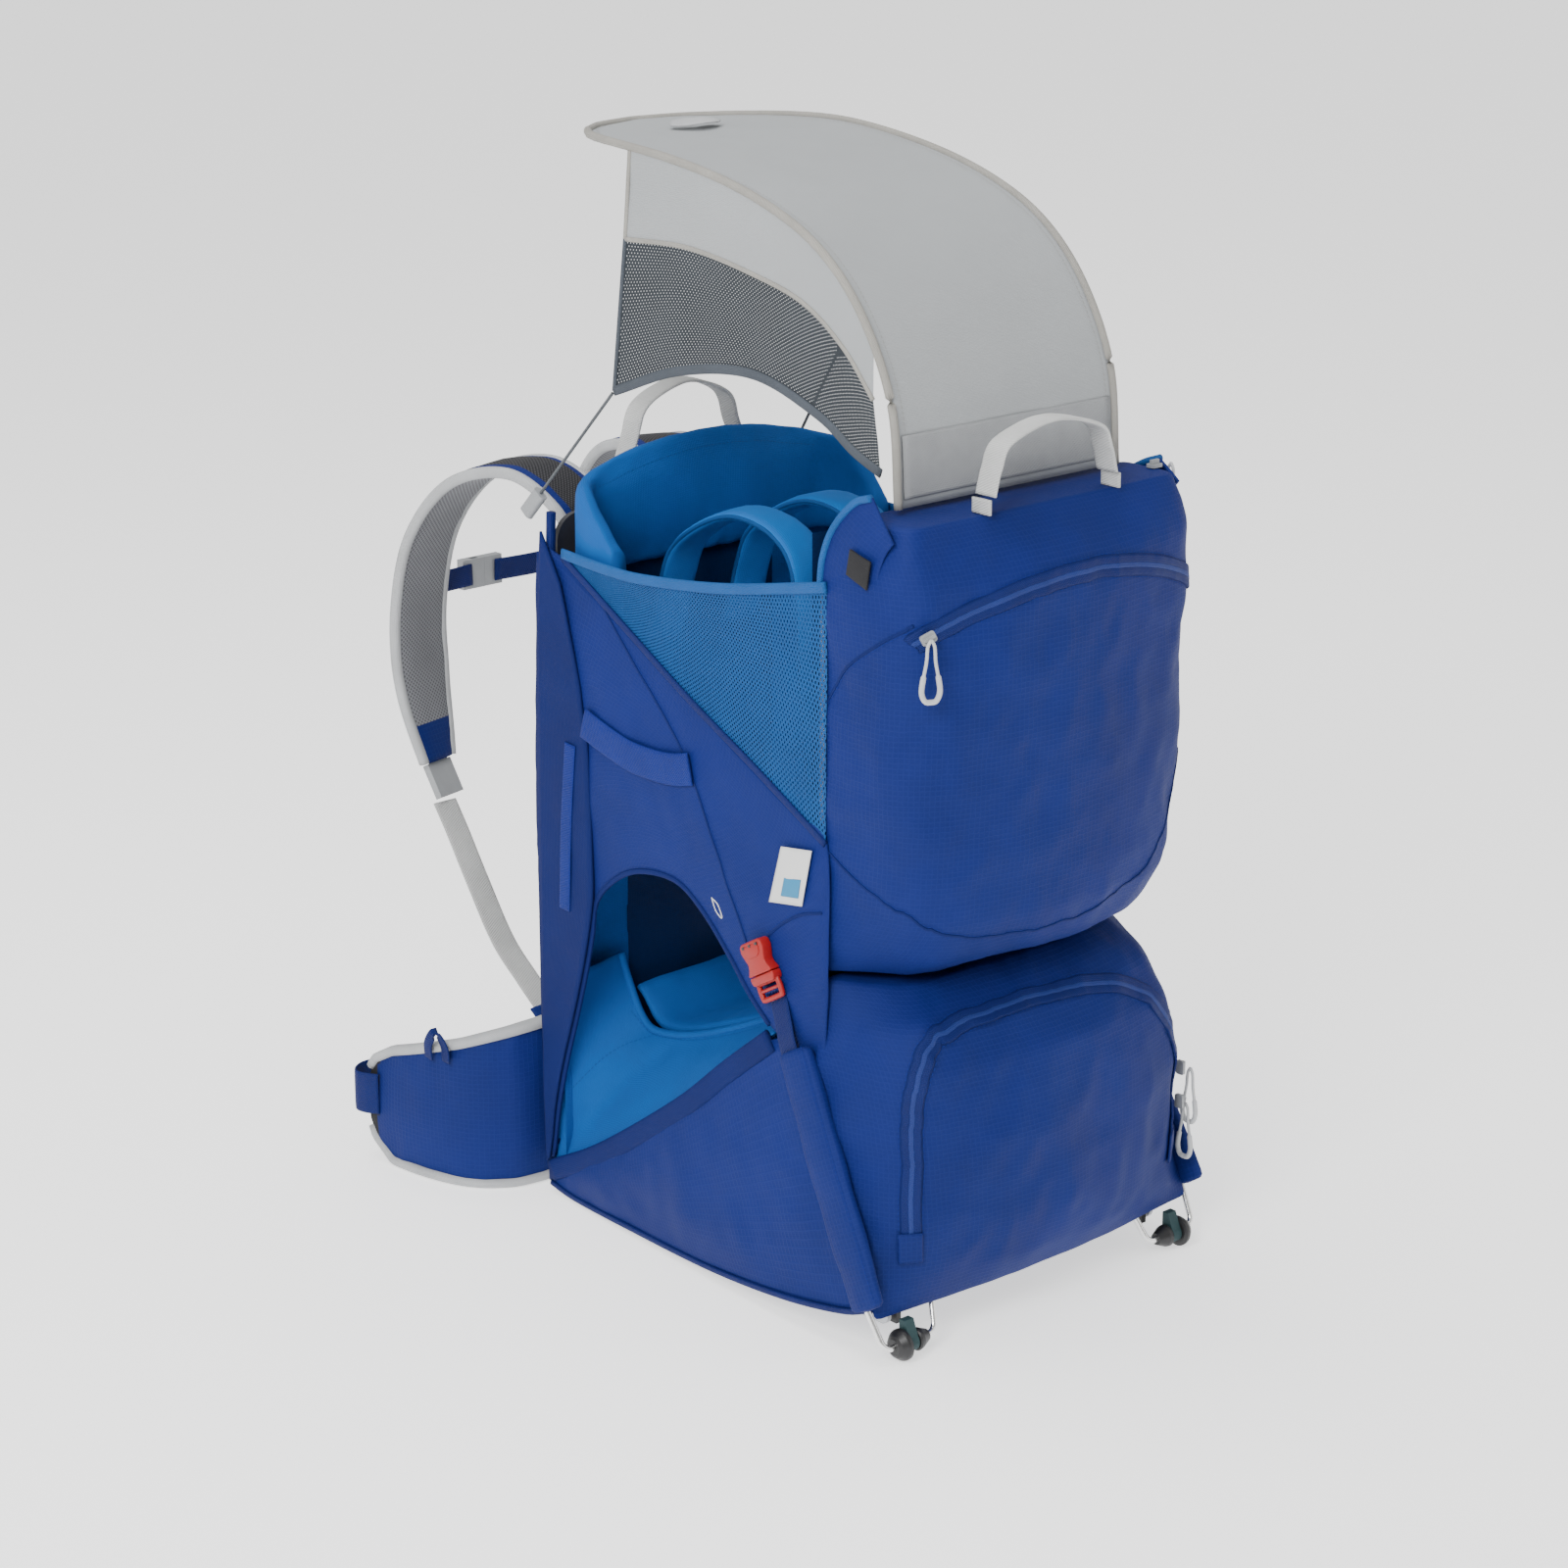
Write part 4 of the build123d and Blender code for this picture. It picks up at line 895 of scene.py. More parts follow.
NET_TOP = [(406, 573), (350, 570), (300, 571), (206, 582), (90, 605)]
NET_LOW = [(406, 570), (330, 528), (254, 486), (172, 445), (90, 402)]
EDGE_PIPING = [(438, 10), (441, 150), (438, 320), (430, 480), (424, 604)]
LADDER = [(405, 268), (401, 345), (394, 415)]
GEAR_LOOP = [(377, 437), (346, 428), (318, 422), (288, 421), (264, 423), (243, 428)]
PANEL_SEAM = [(375, 558), (345, 528), (314, 497), (254, 436), (214, 364), (179, 299)]
BUCKLE_SEAM = [(152, 312), (136, 326), (112, 340), (92, 346)]
BAR_TACK = [(222, 325), (214, 321), (209, 311), (217, 315), (222, 325)]
SIDE_BANDS = (  # name, line, width, thickness, look, slot, its rear end for the fold, how far out, CAD nodes
    ("net_top_binding", NET_TOP, 9, 3.4, "sky_binding", "sky_fabric", NET_REAR, 1.6, ()),
    ("net_low_binding", NET_LOW, 6, 2.6, "royal_binding", "blue_fabric", NET_REAR, 1.6, ()),
    ("arch_binding", ARCH, 4.6, 3.6, "royal_plain", "blue_fabric", WALL_REAR, 0.8, ()),
    ("hem_band", HEM, 19, 5.5, "royal_plain", "blue_fabric", HEM_REAR, 1.4, ()),
    ("foot_edge_band", FOOT_EDGE, 5, 4, "royal_binding", "blue_fabric", LOWER_REAR, 1.6, ()),
    ("edge_piping", EDGE_PIPING, 7, 7, "royal_binding", "blue_fabric", WALL_REAR, -2, ()),
    ("ladder_webbing", LADDER, 14, 1.6, "pocket_elastic", "blue_webbing", WALL_REAR, 6.6, ["side_webbing"]),
    ("gear_loop", GEAR_LOOP, 27, 2.4, "pocket_elastic", "blue_webbing", WALL_REAR, 6.2, ["side_webbing"]),
)
FRONT_BAND_OUT = 4.8


def side_wall(hand, name, first, last, count, across, looks, bulge, wave, even=True):
    """A loft between two lines of (ahead, z) on one side."""
    ends = (side_points(hand, first), side_points(hand, last))
    return loft(name, *ends, count, across, looks, bulge, out=(hand, 0, 0), wave=wave, even=even)


def make_side(label, hand):
    def wall(name, *shape, even=True):
        return side_wall(hand, f"{name}_{label}", *shape, even)

    lined = ["royal", "sky"]
    panel = wall("side_panel", ARCH_TOP + TOP_REAR, ARCH + ARCH_REAR, 120, 34, lined, 3, 2.6, even=False)
    skin = Skin(panel)
    sheet(panel, 345, 560, "back_frame", "blue_fabric", ["side_panels"], WALL_REAR)
    thicken(panel, 2.2, inner=1)
    net = wall("mesh_panel", NET_TOP, NET_LOW, 60, 24, ["sky_mesh"], -3, 1.5)
    sheet(net, 325, 200, "back_frame", "sky_mesh", ["mesh_panels"], NET_REAR)
    low = wall("lower_side", HEM + [(124, 230)], FOOT_EDGE, 70, 26, lined, 7, 4.5)
    sheet(low, 420, 250, "back_frame", "blue_fabric", ["lower_side_panels"], LOWER_REAR)
    thicken(low, 2.2, inner=1)
    front = wall("front_band", BAND_SEAM, BAND_FRONT, 100, 12, ["royal_plain"], 0, 1.5, even=False)
    move_points(front, points_of(front) + np.array((hand * FRONT_BAND_OUT * MM, 0, 0)))
    sheet(front, 75, 580, "back_frame", "blue_fabric", (), WALL_REAR)
    thicken(front, 2.6)
    for name, pairs, width, thick, look, slot, rear, out, nodes in SIDE_BANDS:
        line = line_through(side_points(hand, pairs, out), 60)
        piece = swept(f"{name}_{label}", line, band_side(hand, line), (width, thick, 14, 3.2), [look])
        settle(piece, "back_frame", nodes, rear)
    for name, pairs, count in (("panel", PANEL_SEAM, 90), ("buckle", BUCKLE_SEAM, 40)):
        route = side_points(hand, pairs, 1.6)
        seam(f"{name}_seam_{label}", skin, route, count, "back_frame", WALL_REAR)
    line, _ = skin.lay(side_points(hand, BAR_TACK, 1.6), 24)
    tack = tube(f"bar_tack_{label}", line, 0.5, "label", side=(hand, 0, 0))
    settle(tack, "back_frame", fold_from=WALL_REAR)


SLEEVE_COUNT = 26


def make_sleeve(label, hand):
    """The padded sleeve of the kickstand's leg, with a row of stitches down each side."""
    shares = np.linspace(0, 1, SLEEVE_COUNT)
    pairs = [np.array(SLEEVE_TOP) + np.subtract(SLEEVE_FOOT, SLEEVE_TOP) * s for s in shares]
    line = np.array([tuple(p) for p in side_points(hand, pairs, 7.0)])
    swell = [(1 + 0.1 * math.sin(3 * s), 1 + 0.25 * math.sin(2.4 * s + 1)) for s in shares]
    section = (37, 12, 26, 2.6)
    sleeve = swept(f"leg_sleeve_{label}", line, band_side(hand, line), section, ["royal"], swell)
    crumple(sleeve, 1.4, 26, 8 + hand)
    skin = Skin(sleeve)
    settle(sleeve, "rear_frame", ["leg_sleeves"])
    rounded(sleeve)
    rows = []
    for gap in (-15, 15):
        outward = np.tile((hand, 0, 0), (SLEEVE_COUNT, 1)).astype(float)
        edge = offset_line(line, outward, gap)
        path, normals = skin.lay([p + np.array((hand * 6 * MM, 0, 0)) for p in edge], 60)
        rows.append(stitches(f"sleeve_row_{label}", path, normals, "royal_thread"))
    settle(joined(f"sleeve_stitches_{label}", rows), "rear_frame")


for label, hand in SIDES:
    make_side(label, hand)
for label, hand in SIDES:
    make_sleeve(label, hand)


# ---------------------------------------------------------------- cockpit
COLLAR_LOW, COLLAR_TOP = 549, 652
COLLAR_CROWN = 30  # how much lower the top is at the sides
COLLAR_FALL = 44  # and how much more at the rear ends
COLLAR_DEPTH = 8.2  # half its thickness
COLLAR_INSET = 12


def make_cockpit():
    half = SIDE - COLLAR_INSET
    corner = [(half, 350), (half, 384), (half - 13, 407), (half - 46, 416)]
    left = [at(-x, d, 0) for x, d in corner]
    right = [at(x, d, 0) for x, d in reversed(corner)]
    route = left + [at(0, 416.5, 0)] + right
    plan = line_through(route, 110)
    centre = at(0, 250, 0)
    way = np.gradient(plan, axis=0)
    inward = np.column_stack([way[:, 1], -way[:, 0]])
    inward /= np.linalg.norm(inward, axis=1)[:, None]
    facing = ((np.array(centre)[:2] - plan[:, :2]) * inward).sum(axis=1)
    inward *= np.sign(facing)[:, None]
    rings = []
    low = COLLAR_LOW * MM
    for p, n in zip(plan, inward):
        fall = min(1.0, max(0.0, (398 - (p[1] / MM - FOOT_LINE)) / 48))
        top = (COLLAR_TOP - COLLAR_CROWN * (p[0] / MM / SIDE) ** 2 - COLLAR_FALL * fall**1.3) * MM
        ring = []
        for turn in np.linspace(0, 2 * math.pi, 44, endpoint=False):
            c, s = math.cos(turn), math.sin(turn)
            z = (low + top) / 2 + math.copysign(abs(s) ** (2 / 4.5), s) * (top - low) / 2
            out = math.copysign(abs(c) ** (2 / 2.6), c) * COLLAR_DEPTH * MM
            ring.append((p[0] + n[0] * out, p[1] + n[1] * out, z))
        rings.append(ring)
    collar = grid("cockpit_collar_pad", rings, ["sky"], closed=True)
    inflate(collar, lambda p: (p[:, 2] < low + 0.006) * 1.0, pressure=1.2, cap=3)
    crumple(collar, 1.6, 18, 11)
    skin = Skin(collar)
    settle(collar, "back_frame", ["cockpit_collar"])
    route = [at(x, 404, 640 - COLLAR_CROWN * (x / SIDE) ** 2) for x in np.linspace(-120, 120, 9)]
    line, normals = skin.lay(route, 90)
    settle(stitches("collar_stitches", line, normals, "sky_binding"), "back_frame")


def lining(name, xs, ahead, heights, counts, look, bulge, out, wave, size, body, slot, rests_on):
    """A flat hanging cloth: ahead(x) is its distance ahead, heights its top and bottom."""
    top, low = ([at(x, ahead(x), z) for x in xs] for z in heights)
    piece = loft(name, top, low, *counts, [look], bulge, out=(0, out, 0), wave=wave)
    sheet(piece, *size, body, slot, held="hung", rests_on=[rests_on])


def make_linings():
    heights = (566, 24)
    # painted shade: the middle of the front lining takes the dark navy cloth in place of the shade that
    # falls inside the cockpit; its outer parts keep the sky blue of the lit cloth
    lining("cockpit_front_lining", (-84, 0, 84), lambda x: 423 - abs(x) / 60, heights, (50, 60), "lining",
           -3, 1, 3, (168, 545), "back_frame", "sky_fabric", "back_sheet")
    for label, hand in SIDES:
        xs = (hand * 83, hand * 156)
        lining(f"cockpit_side_lining_{label}", xs, lambda x: 422.5 - abs(x) / 60, heights, (20, 60), "sky",
               0, -1, 2, (74, 545), "back_frame", "sky_fabric", "back_sheet")
    # painted shade: the rear lining takes the same dark navy cloth for the shade inside the cockpit
    lining("cockpit_rear_lining", (-155, 0, 155), lambda x: 110.5, (642, 240), (50, 50), "lining",
           -2, -1, 1, (310, 404), "rear_frame", "sky_fabric", "upper_pocket")


SEAT_LINE = [(120, 246), (185, 220), (251, 194), (320, 165), (368, 156), (402, 182)]
HALO = [
    (419, 482), (408, 507), (400, 535), (385, 566), (348, 592), (309, 605), (267, 600), (240, 578),
    (232, 530), (225, 450), (214, 360), (205, 290), (201, 236),
]
APRON_EDGE = [(396, 214), (421, 140), (435, 60), (432, 30), (361, 64), (258, 136), (197, 188), (148, 232)]
APRON_RIM = [
    (100, 411, 212), (97, 404, 188), (98, 387, 163), (98, 368, 153), (98, 325, 161), (98, 275, 180),
    (98, 220, 206), (112, 142, 242),
]
APRON_ROWS = (
    ("gusset", [(104, 366, 154), (126, 400, 128), (152, 420, 96)]),
    ("rim", [(105, 392, 166), (106, 368, 156), (106, 325, 162), (106, 275, 180), (107, 225, 202)]),
)


def make_seat():
    line = line_through([at(0, d, z) for d, z in SEAT_LINE], 44)
    seat = swept("seat_cushion", line, (1, 0, 0), (180, 15, 48, 3.4), ["sky"])
    inflate(seat, lambda p: (np.abs(p[:, 0]) > 0.084) * 1.0, pressure=1.5, cap=5)
    crumple(seat, 1.8, 16, 21)
    skin = Skin(seat)
    settle(seat, "back_frame", ["seat_pad"], fold_from=SEAT_REAR)
    for x in (-52, 52):
        line, normals = skin.lay([at(x, d, z + 9) for d, z in SEAT_LINE[1:-1]], 60)
        row = stitches(f"seat_channel_{x}", line, normals, "sky_binding")
        settle(row, "back_frame", fold_from=SEAT_REAR)


def make_apron(label, hand):
    """The cloth that closes the side between the hem, the front strip and the seat's edge."""
    outer = line_through(side_points(hand, APRON_EDGE, -0.5), 60)
    inner = line_through(places(APRON_RIM, hand), 60)
    out = (hand * 0.5, 0, 0.85)
    apron = loft(f"seat_apron_{label}", outer, inner, 70, 28, ["sky"], 6, out=out, wave=3.0)
    skin = Skin(apron)
    sheet(apron, 400, 180, "back_frame", "sky_fabric", ["seat_aprons"], APRON_REAR)
    thicken(apron, 1.8)
    roll = tube(f"seat_edge_{label}", inner, 3.4, "sky", side=(1, 0, 0))
    settle(roll, "back_frame", fold_from=APRON_REAR)
    for name, route in APRON_ROWS:
        line, normals = skin.lay(places(route, hand), 60)
        row = stitches(f"apron_{name}_stitches_{label}", line, normals, "sky_thread")
        settle(row, "back_frame", fold_from=APRON_REAR)


HARNESS_COUNT = 110


def make_child_harness():
    line = line_through([at(0, d, z) for d, z in HALO], HARNESS_COUNT)
    swell = [(1.0, 0.85 + 0.3 * math.sin(math.pi * s)) for s in np.linspace(0, 1, HARNESS_COUNT)]
    pads = []
    for x in (-42, 42):
        lane = line + np.array((x * MM, 0, 0))
        pad = swept("harness_pad", lane, (1, 0, 0), (38, 9.5, 20, 2.8), ["halo"], swell)
        crumple(pad, 1.0, 24, 31 + x)
        pads.append(pad)
        for edge in (-18.5, 18.5):
            rim = lane + np.array((edge * MM, 0, 0))
            pads.append(tube("harness_rim", rim, 1.8, "sky_binding", side=(1, 0, 0)))
    chest_line = line_through(places([(-64, 232, 430), (0, 233, 430), (64, 232, 430)]), 30)
    pads.append(swept("harness_chest", chest_line, (0, 0, 1), (22, 6, 14, 3.5), ["sky_binding"]))
    piece = joined("child_harness_pads", pads)
    settle(piece, "back_frame", ["child_harness"], fold_from=HARNESS_REAR)


EAR_DROP = 16  # the right ear has slipped down by that much


def make_floor_cloth():
    front = places([(-140, 420, 10), (0, 420, 9), (140, 420, 10)])
    rear = places([(-146, 46, 26), (0, 44, 20), (146, 46, 26)])
    floor = loft("compartment_floor_cloth", front, rear, 40, 44, ["royal_plain"], -1, out=(0, 0, 1), wave=2)
    sheet(floor, 292, 378, "back_frame", "blue_fabric", ["compartment_floor"], FLOOR_REAR)


def make_ear(label, hand):
    """The pocket's pointed top corner."""
    drop = EAR_DROP if hand > 0 else 0
    rim = [(99, 600), (96, 626), (84, 652 - drop / 2), (62, 674 - drop), (44, 681 - drop)]
    base = [(40, 596), (38, 612), (36, 626), (30, 640), (22, 650)]
    ends = (side_points(hand, rim, -0.5), side_points(hand, base, -1.5))
    ear = loft(f"pocket_ear_{label}", *ends, 40, 16, ["royal"], 2, out=(hand, 0, 0), wave=1.5)
    sheet(ear, 90, 100, "rear_frame", "blue_fabric")
    thicken(ear, 2.4)
    binding = tube(f"ear_binding_{label}", line_through(ends[0], 40), 3.0, "sky_binding")
    settle(binding, "rear_frame")


make_cockpit()
make_linings()
make_seat()
for label, hand in SIDES:
    make_apron(label, hand)
make_child_harness()
make_floor_cloth()
for label, hand in SIDES:
    make_ear(label, hand)


# ---------------------------------------------------------------- back panel
EDGE_COVER = [(439, 44), (444, 170), (447, 300), (445, 440), (439, 566)]
GROOVE_PITCH = 0.055


def make_back():
    low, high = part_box("back_pad")
    middle = (low.y + high.y) / 2
    rows = []
    for z in np.linspace(low.z + 0.004, high.z - 0.004, 80):
        share = (z - low.z) / (high.z - low.z)
        half = 0.122 * min(1, math.sqrt(max(0.0, 1 - (2 * share - 1) ** 8)) + 0.02)
        rows.append([(a, middle + b, z) for a, b in pill(2 * half / MM, 15, 56, 4.0)])
    pad = grid("back_pad_mesh", rows, ["black_mesh"], closed=True)
    points = points_of(pad)
    groove = np.abs(((points[:, 2] - low.z) / GROOVE_PITCH) % 1 - 0.5) < 0.16
    spine = np.abs(points[:, 0]) < 0.016
    front = points[:, 1] > middle
    points[:, 1] -= front * np.where(spine, 5.0, np.where(groove, 3.0, 0.0)) * MM
    move_points(pad, points)
    inflate(pad, lambda p: np.clip(middle - p[:, 1] > -0.001, 0, 1) * 1.0, pressure=1.0, cap=3)
    settle(pad, "back_frame", ["back_pad"])
    rounded(pad)
    for label, hand in SIDES:
        line = line_through([at(hand * 152, d, z) for d, z in EDGE_COVER], 50)
        cover = swept(f"edge_cover_{label}", line, (0, 1, 0), (17, 6.4, 18, 2.6), ["royal_plain"])
        crumple(cover, 1.0, 22, 41)
        settle(cover, "back_frame", ["edge_covers"])
    lining("back_cover", (-130, 0, 130), lambda x: 432.6, (596, 30), (30, 50), "royal",
           0.5, 1, 0.5, (260, 566), "back_frame", "blue_fabric", "back_sheet")


make_back()


# ---------------------------------------------------------------- sunshade
SHADE_HALF = 118.0
SHADE_CURVE = [(56, 664), (64, 740), (95, 802), (140, 846), (200, 874), (280, 893), (380, 903), (502, 900)]
TIP_FROM = 0.74  # the share of the length where the rounded tip starts


def shade_spine(count):
    return line_through([at(0, d, z) for d, z in SHADE_CURVE], count)


def shade_half(share):
    """Half width of the canopy along its length: straight, then a rounded tip."""
    if share <= TIP_FROM:
        return SHADE_HALF
    return SHADE_HALF * math.sqrt(max(0.0, 1 - ((share - TIP_FROM) / (1 - TIP_FROM)) ** 2))


def shade_edge(hand):
    spine = shade_spine(241)
    line = []
    for share in np.linspace(0, 1, 90):
        p = spine[int(round(share * 240))]
        line.append(Vector(p) + Vector((hand * shade_half(share) * MM, 0, 0)))
    return line


def make_shade():
    spine = shade_spine(86)
    rows = []
    for i, p in enumerate(spine):
        half = max(shade_half(i / 85), 1.5)
        row = []
        for s in np.linspace(-1, 1, 41):
            dip = 5.0 * (1 - s * s) * math.sin(math.pi * min(1, i / 85))
            row.append((s * half * MM, p[1], p[2] - dip * MM * 0.8))
        rows.append(row)
    canopy = grid("sunshade_canopy", rows, ["shade"])
    crumple(canopy, 1.5, 7, 51, lambda p: 1 - np.clip(np.abs(p[:, 0]) / (SHADE_HALF * MM), 0, 1) ** 4)
    skin = Skin(canopy)
    sheet(canopy, 236, 640, "sunshade", "shade_fabric", ["shade_canopy"])
    thicken(canopy, 1.2)
    rim_points = shade_edge(-1) + shade_edge(1)[::-1][1:]
    rim_line = line_through(rim_points, 230, smooth=False)
    rim = tube("sunshade_rim", rim_line, 3.4, "shade_rim", side=(0, 0.3, 1), count=12)
    settle(rim, "sunshade", ["shade_wire"])
    inner = [(Vector(p) - Vector((math.copysign(9.5 * MM, p[0]), 0, 0))) for p in rim_points[8:-8]]
    inner = [p for p in inner if abs(p.x) > 3 * MM]
    line, normals = skin.lay(inner, 240)
    normals = np.where(normals[:, 2:3] + normals[:, 1:2] * -0.5 < 0, -normals, normals)
    row = stitches("sunshade_stitches", line, normals, "shade_rim", lift=0.9)
    settle(row, "sunshade")
    ends = [[Vector(p) + Vector((x, -0.0014, 0)) for p in spine[1:9]] for x in (-0.112, 0.112)]
    base = loft("sunshade_base_band", *ends, 20, 30, ["shade_base"], 1, out=(0, -1, 0))
    settle(base, "sunshade")
    thicken(base, 1.2)
    tab_line = line_through(places([(-20, 430, 905.5), (0, 415, 908), (24, 425, 906)]), 20)
    swell = [(math.sin(math.pi * (0.12 + 0.76 * s)) ** 0.6, 1) for s in np.linspace(0, 1, 20)]
    tab = swept("sunshade_pull_tab", tab_line, (0, 1, 0.1), (20, 2.0, 12, 3.0), ["grey_binding"], swell)
    settle(tab, "sunshade")
    for label, hand in SIDES:
        make_shade_side(label, hand)


SHADE_TOP = [(82, 778), (108, 815), (142, 846), (200, 873), (280, 892), (362, 900)]
SHADE_BORDER = [(80, 744), (112, 778), (156, 806), (214, 821), (290, 832), (366, 830)]
SHADE_ARCH = [(70, 690), (100, 702), (140, 724), (214, 744), (300, 734), (381, 706)]


def make_shade_side(label, hand):
    lines = ((SHADE_TOP, 1.5), (SHADE_BORDER, 4.0), (SHADE_ARCH, 5.0))
    top, middle, low = ([at(hand * (SHADE_HALF + x), d, z) for d, z in pairs] for pairs, x in lines)
    out = (hand, 0, 0)
    cloth = loft(f"shade_side_cloth_{label}", top, middle, 50, 14, ["shade"], 1.5, out=out, wave=1.5)
    sheet(cloth, 330, 90, "sunshade", "shade_fabric", ["shade_sides"])
    net = loft(f"shade_side_net_{label}", middle, low, 50, 20, ["shade_mesh"], -1.5, out=out, wave=2)
    sheet(net, 330, 120, "sunshade", "shade_mesh", ["shade_sides"])
    bands = (
        ("border", middle, 4, "shade_rim"),
        ("arch", low, 8, "shade_edge"),
        ("front", [middle[-1], middle[-1].lerp(low[-1], 0.5), low[-1]], 4, "shade_edge"),
        ("brow", [top[-1], top[-1].lerp(middle[-1], 0.5), middle[-1]], 4, "shade_rim"),
    )
    for name, points, width, look in bands:
        line = line_through(points, 60)
        section = (width, 2.4, 12, 2.6)
        piece = swept(f"shade_{name}_band_{label}", line, band_side(hand, line), section, [look])
        settle(piece, "sunshade")


make_shade()


# ---------------------------------------------------------------- harness
STRAP_SPLAY = 0.217  # the shoulder straps run outwards by this share of their way ahead
STRAP_LINE = [
    (-2, 528), (4, 556), (20, 584), (70, 607), (136, 590), (184, 536), (203, 464), (201, 395), (186, 326),
]
STRAP_TAIL = [(190, 340), (184, 318), (178, 300)]
LOWER_WEB = [(153, 291), (135, 267), (108, 228), (73, 181), (39, 154), (10, 133)]
ANCHOR = [(14, 136), (-12, 119), (-38, 112)]
STRAP_COUNT = 110


def strap_line(hand, pairs, count, root_x=58, root=486, splay=STRAP_SPLAY):
    """A line in the upright plane that a strap runs in, from (run, z) pairs."""
    points = []
    for run, z in pairs:
        step = run / math.hypot(1, splay)
        points.append(at(hand * (root_x + step * splay), root + step, z))
    return line_through(points, count)


def web_line(hand, pairs, count):
    """The same for the lower webbing, which runs straight ahead."""
    return strap_line(hand, pairs, count, 102, 500, 0)


def lined_strap(label, hand, line, side, width):
    """A padded strap: cloth outside, grey mesh towards the wearer, a dark panel at the shoulder."""
    share = np.linspace(0, 1, STRAP_COUNT)
    swell = np.column_stack([width, 0.92 + 0.08 * np.sin(share * math.pi)])
    looks = ["royal", "grey_mesh", "black_mesh"]
    strap = swept(f"shoulder_strap_{label}", line, side, (62, 11, 30, 3.4), looks, swell)
    middle = line.mean(axis=0)
    for polygon in strap.data.polygons:
        centre = np.array(polygon.center)
        nearest = np.argmin(np.linalg.norm(line - centre, axis=1))
        inward = float(np.array(polygon.normal) @ (middle - line[nearest])) > 0
        if inward:
            polygon.material_index = 1 if share[nearest] < 0.93 else 0
        elif abs((centre - line[nearest]) @ side) < 0.019 and share[nearest] < 0.42:
            polygon.material_index = 2
    crumple(strap, 1.2, 20, 61 + hand)
    settle(strap, "shoulder_harness", ["shoulder_straps"])


def make_shoulder_strap(label, hand):
    line = strap_line(hand, STRAP_LINE, STRAP_COUNT)
    side = np.array((1, -hand * STRAP_SPLAY, 0))
    share = np.linspace(0, 1, STRAP_COUNT)
    taper = 0.42 * np.clip((share - 0.80) / 0.20, 0, 1) ** 1.6
    width = 1.0 - taper - 0.08 * np.clip(0.1 - share, 0, 1) / 0.1
    lined_strap(label, hand, line, side, width)
    way = np.gradient(line, axis=0)
    across = side - (way @ side)[:, None] * way / (np.linalg.norm(way, axis=1) ** 2)[:, None]
    across /= np.linalg.norm(across, axis=1)[:, None]
    bindings = []
    for edge in (-1, 1):
        rim = line + across * (edge * 31 * MM * width)[:, None]
        bindings.append(swept("rim", rim, across, (8, 10, 14, 2.4), ["grey_binding"]))
    settle(joined(f"strap_binding_{label}", bindings), "shoulder_harness")
    tail_line = strap_line(hand, STRAP_TAIL, 12)
    tail = swept(f"strap_tail_{label}", tail_line, side, (25, 2.4, 12, 4.0), ["grey_webbing"])
    settle(tail, "shoulder_harness")
    low_line = web_line(hand, LOWER_WEB, 70)
    strip = swept(f"lower_webbing_{label}", low_line, (1, 0, 0), (25, 2.0, 12, 5.0), ["grey_webbing"])
    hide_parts("strap_webbing")
    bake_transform(strip)
    tab = swept(f"anchor_tab_{label}", web_line(hand, ANCHOR, 20), (1, 0, 0), (34, 4.5, 16, 3.0), ["royal"])
    settle(tab, "back_frame", ["strap_anchor_tabs"])


def make_yoke():
    low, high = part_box("harness_yoke")
    rows = []
    for z in np.linspace(low.z + 0.002, high.z - 0.002, 40):
        share = 2 * (z - low.z) / (high.z - low.z) - 1
        half = (high.x - 0.002) * math.sqrt(max(0.0, 1 - abs(share) ** 6)) + 0.004
        rows.append([(a, (low.y + high.y) / 2 + b, z) for a, b in pill(2 * half / MM, 6.6, 40, 4.0)])
    yoke = grid("harness_yoke_pad", rows, ["black_mesh"], closed=True)
    crumple(yoke, 0.6, 20, 71)
    settle(yoke, "shoulder_harness", ["harness_yoke"])
    roots = []
    for _, hand in SIDES:
        step = -3 / math.hypot(1, STRAP_SPLAY)
        end = (58 + step * STRAP_SPLAY, 486 + step, 532)
        line = line_through(places([(58, 471, 480), (58, 476, 510), end], hand), 14)
        roots.append(swept("strap_root", line, (1, 0, 0), (62, 6, 20, 3.0), ["royal"]))
    settle(joined("strap_roots", roots), "shoulder_harness")


def make_sternum():
    """Two lengths of webbing from the clips on the straps to the buckle's halves."""
    low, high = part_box("sternum_webbing")
    y = low.y + 0.9 * MM
    z = (low.z + high.z) / 2
    socket_low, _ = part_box("sternum_socket")
    _, plug_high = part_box("sternum_plug")
    strips = []
    for a, b in ((low.x, socket_low.x + 0.009), (plug_high.x - 0.009, high.x)):
        line = line_through([(a, y, z), ((a + b) / 2, y, z - 0.001), (b, y, z)], 16)
        strips.append(swept("sternum", line, (0, 0, 1), (20, 1.8, 12, 5.0), ["royal_webbing"]))
    for x in (low.x + 0.006, high.x - 0.006):
        clip = line_through([(x + step, y + 0.0025, z) for step in (-0.006, 0, 0.006)], 6)
        strips.append(swept("clip", clip, (0, 0, 1), (25, 3.2, 16, 5.0), ["grey_plastic"]))
    settle(joined("sternum_straps", strips), "sternum_strap", ["sternum_webbing"])


WING_PLAN = [(136, 461), (154, 462), (178, 470), (204, 495), (219, 540), (225, 602)]
WING_LOW = ([455, 470, 575, 598, 603], [7, 5, 5, 22, 34])
WING_HIGH = ([455, 470, 500, 575, 596, 603], [149, 142, 130, 106, 94, 84])
WING_LOOP = [(224, 522, 116), (225, 521, 130), (223, 513, 141), (220, 505, 130), (219, 504, 116)]
BELT_LINE = [(231, 588), (238, 600), (238, 612), (222, 622), (188, 616), (150, 600)]
BELT_BUCKLE = [(150, 597.5), (122, 590), (94, 582.5)]
BELT_Z = 64


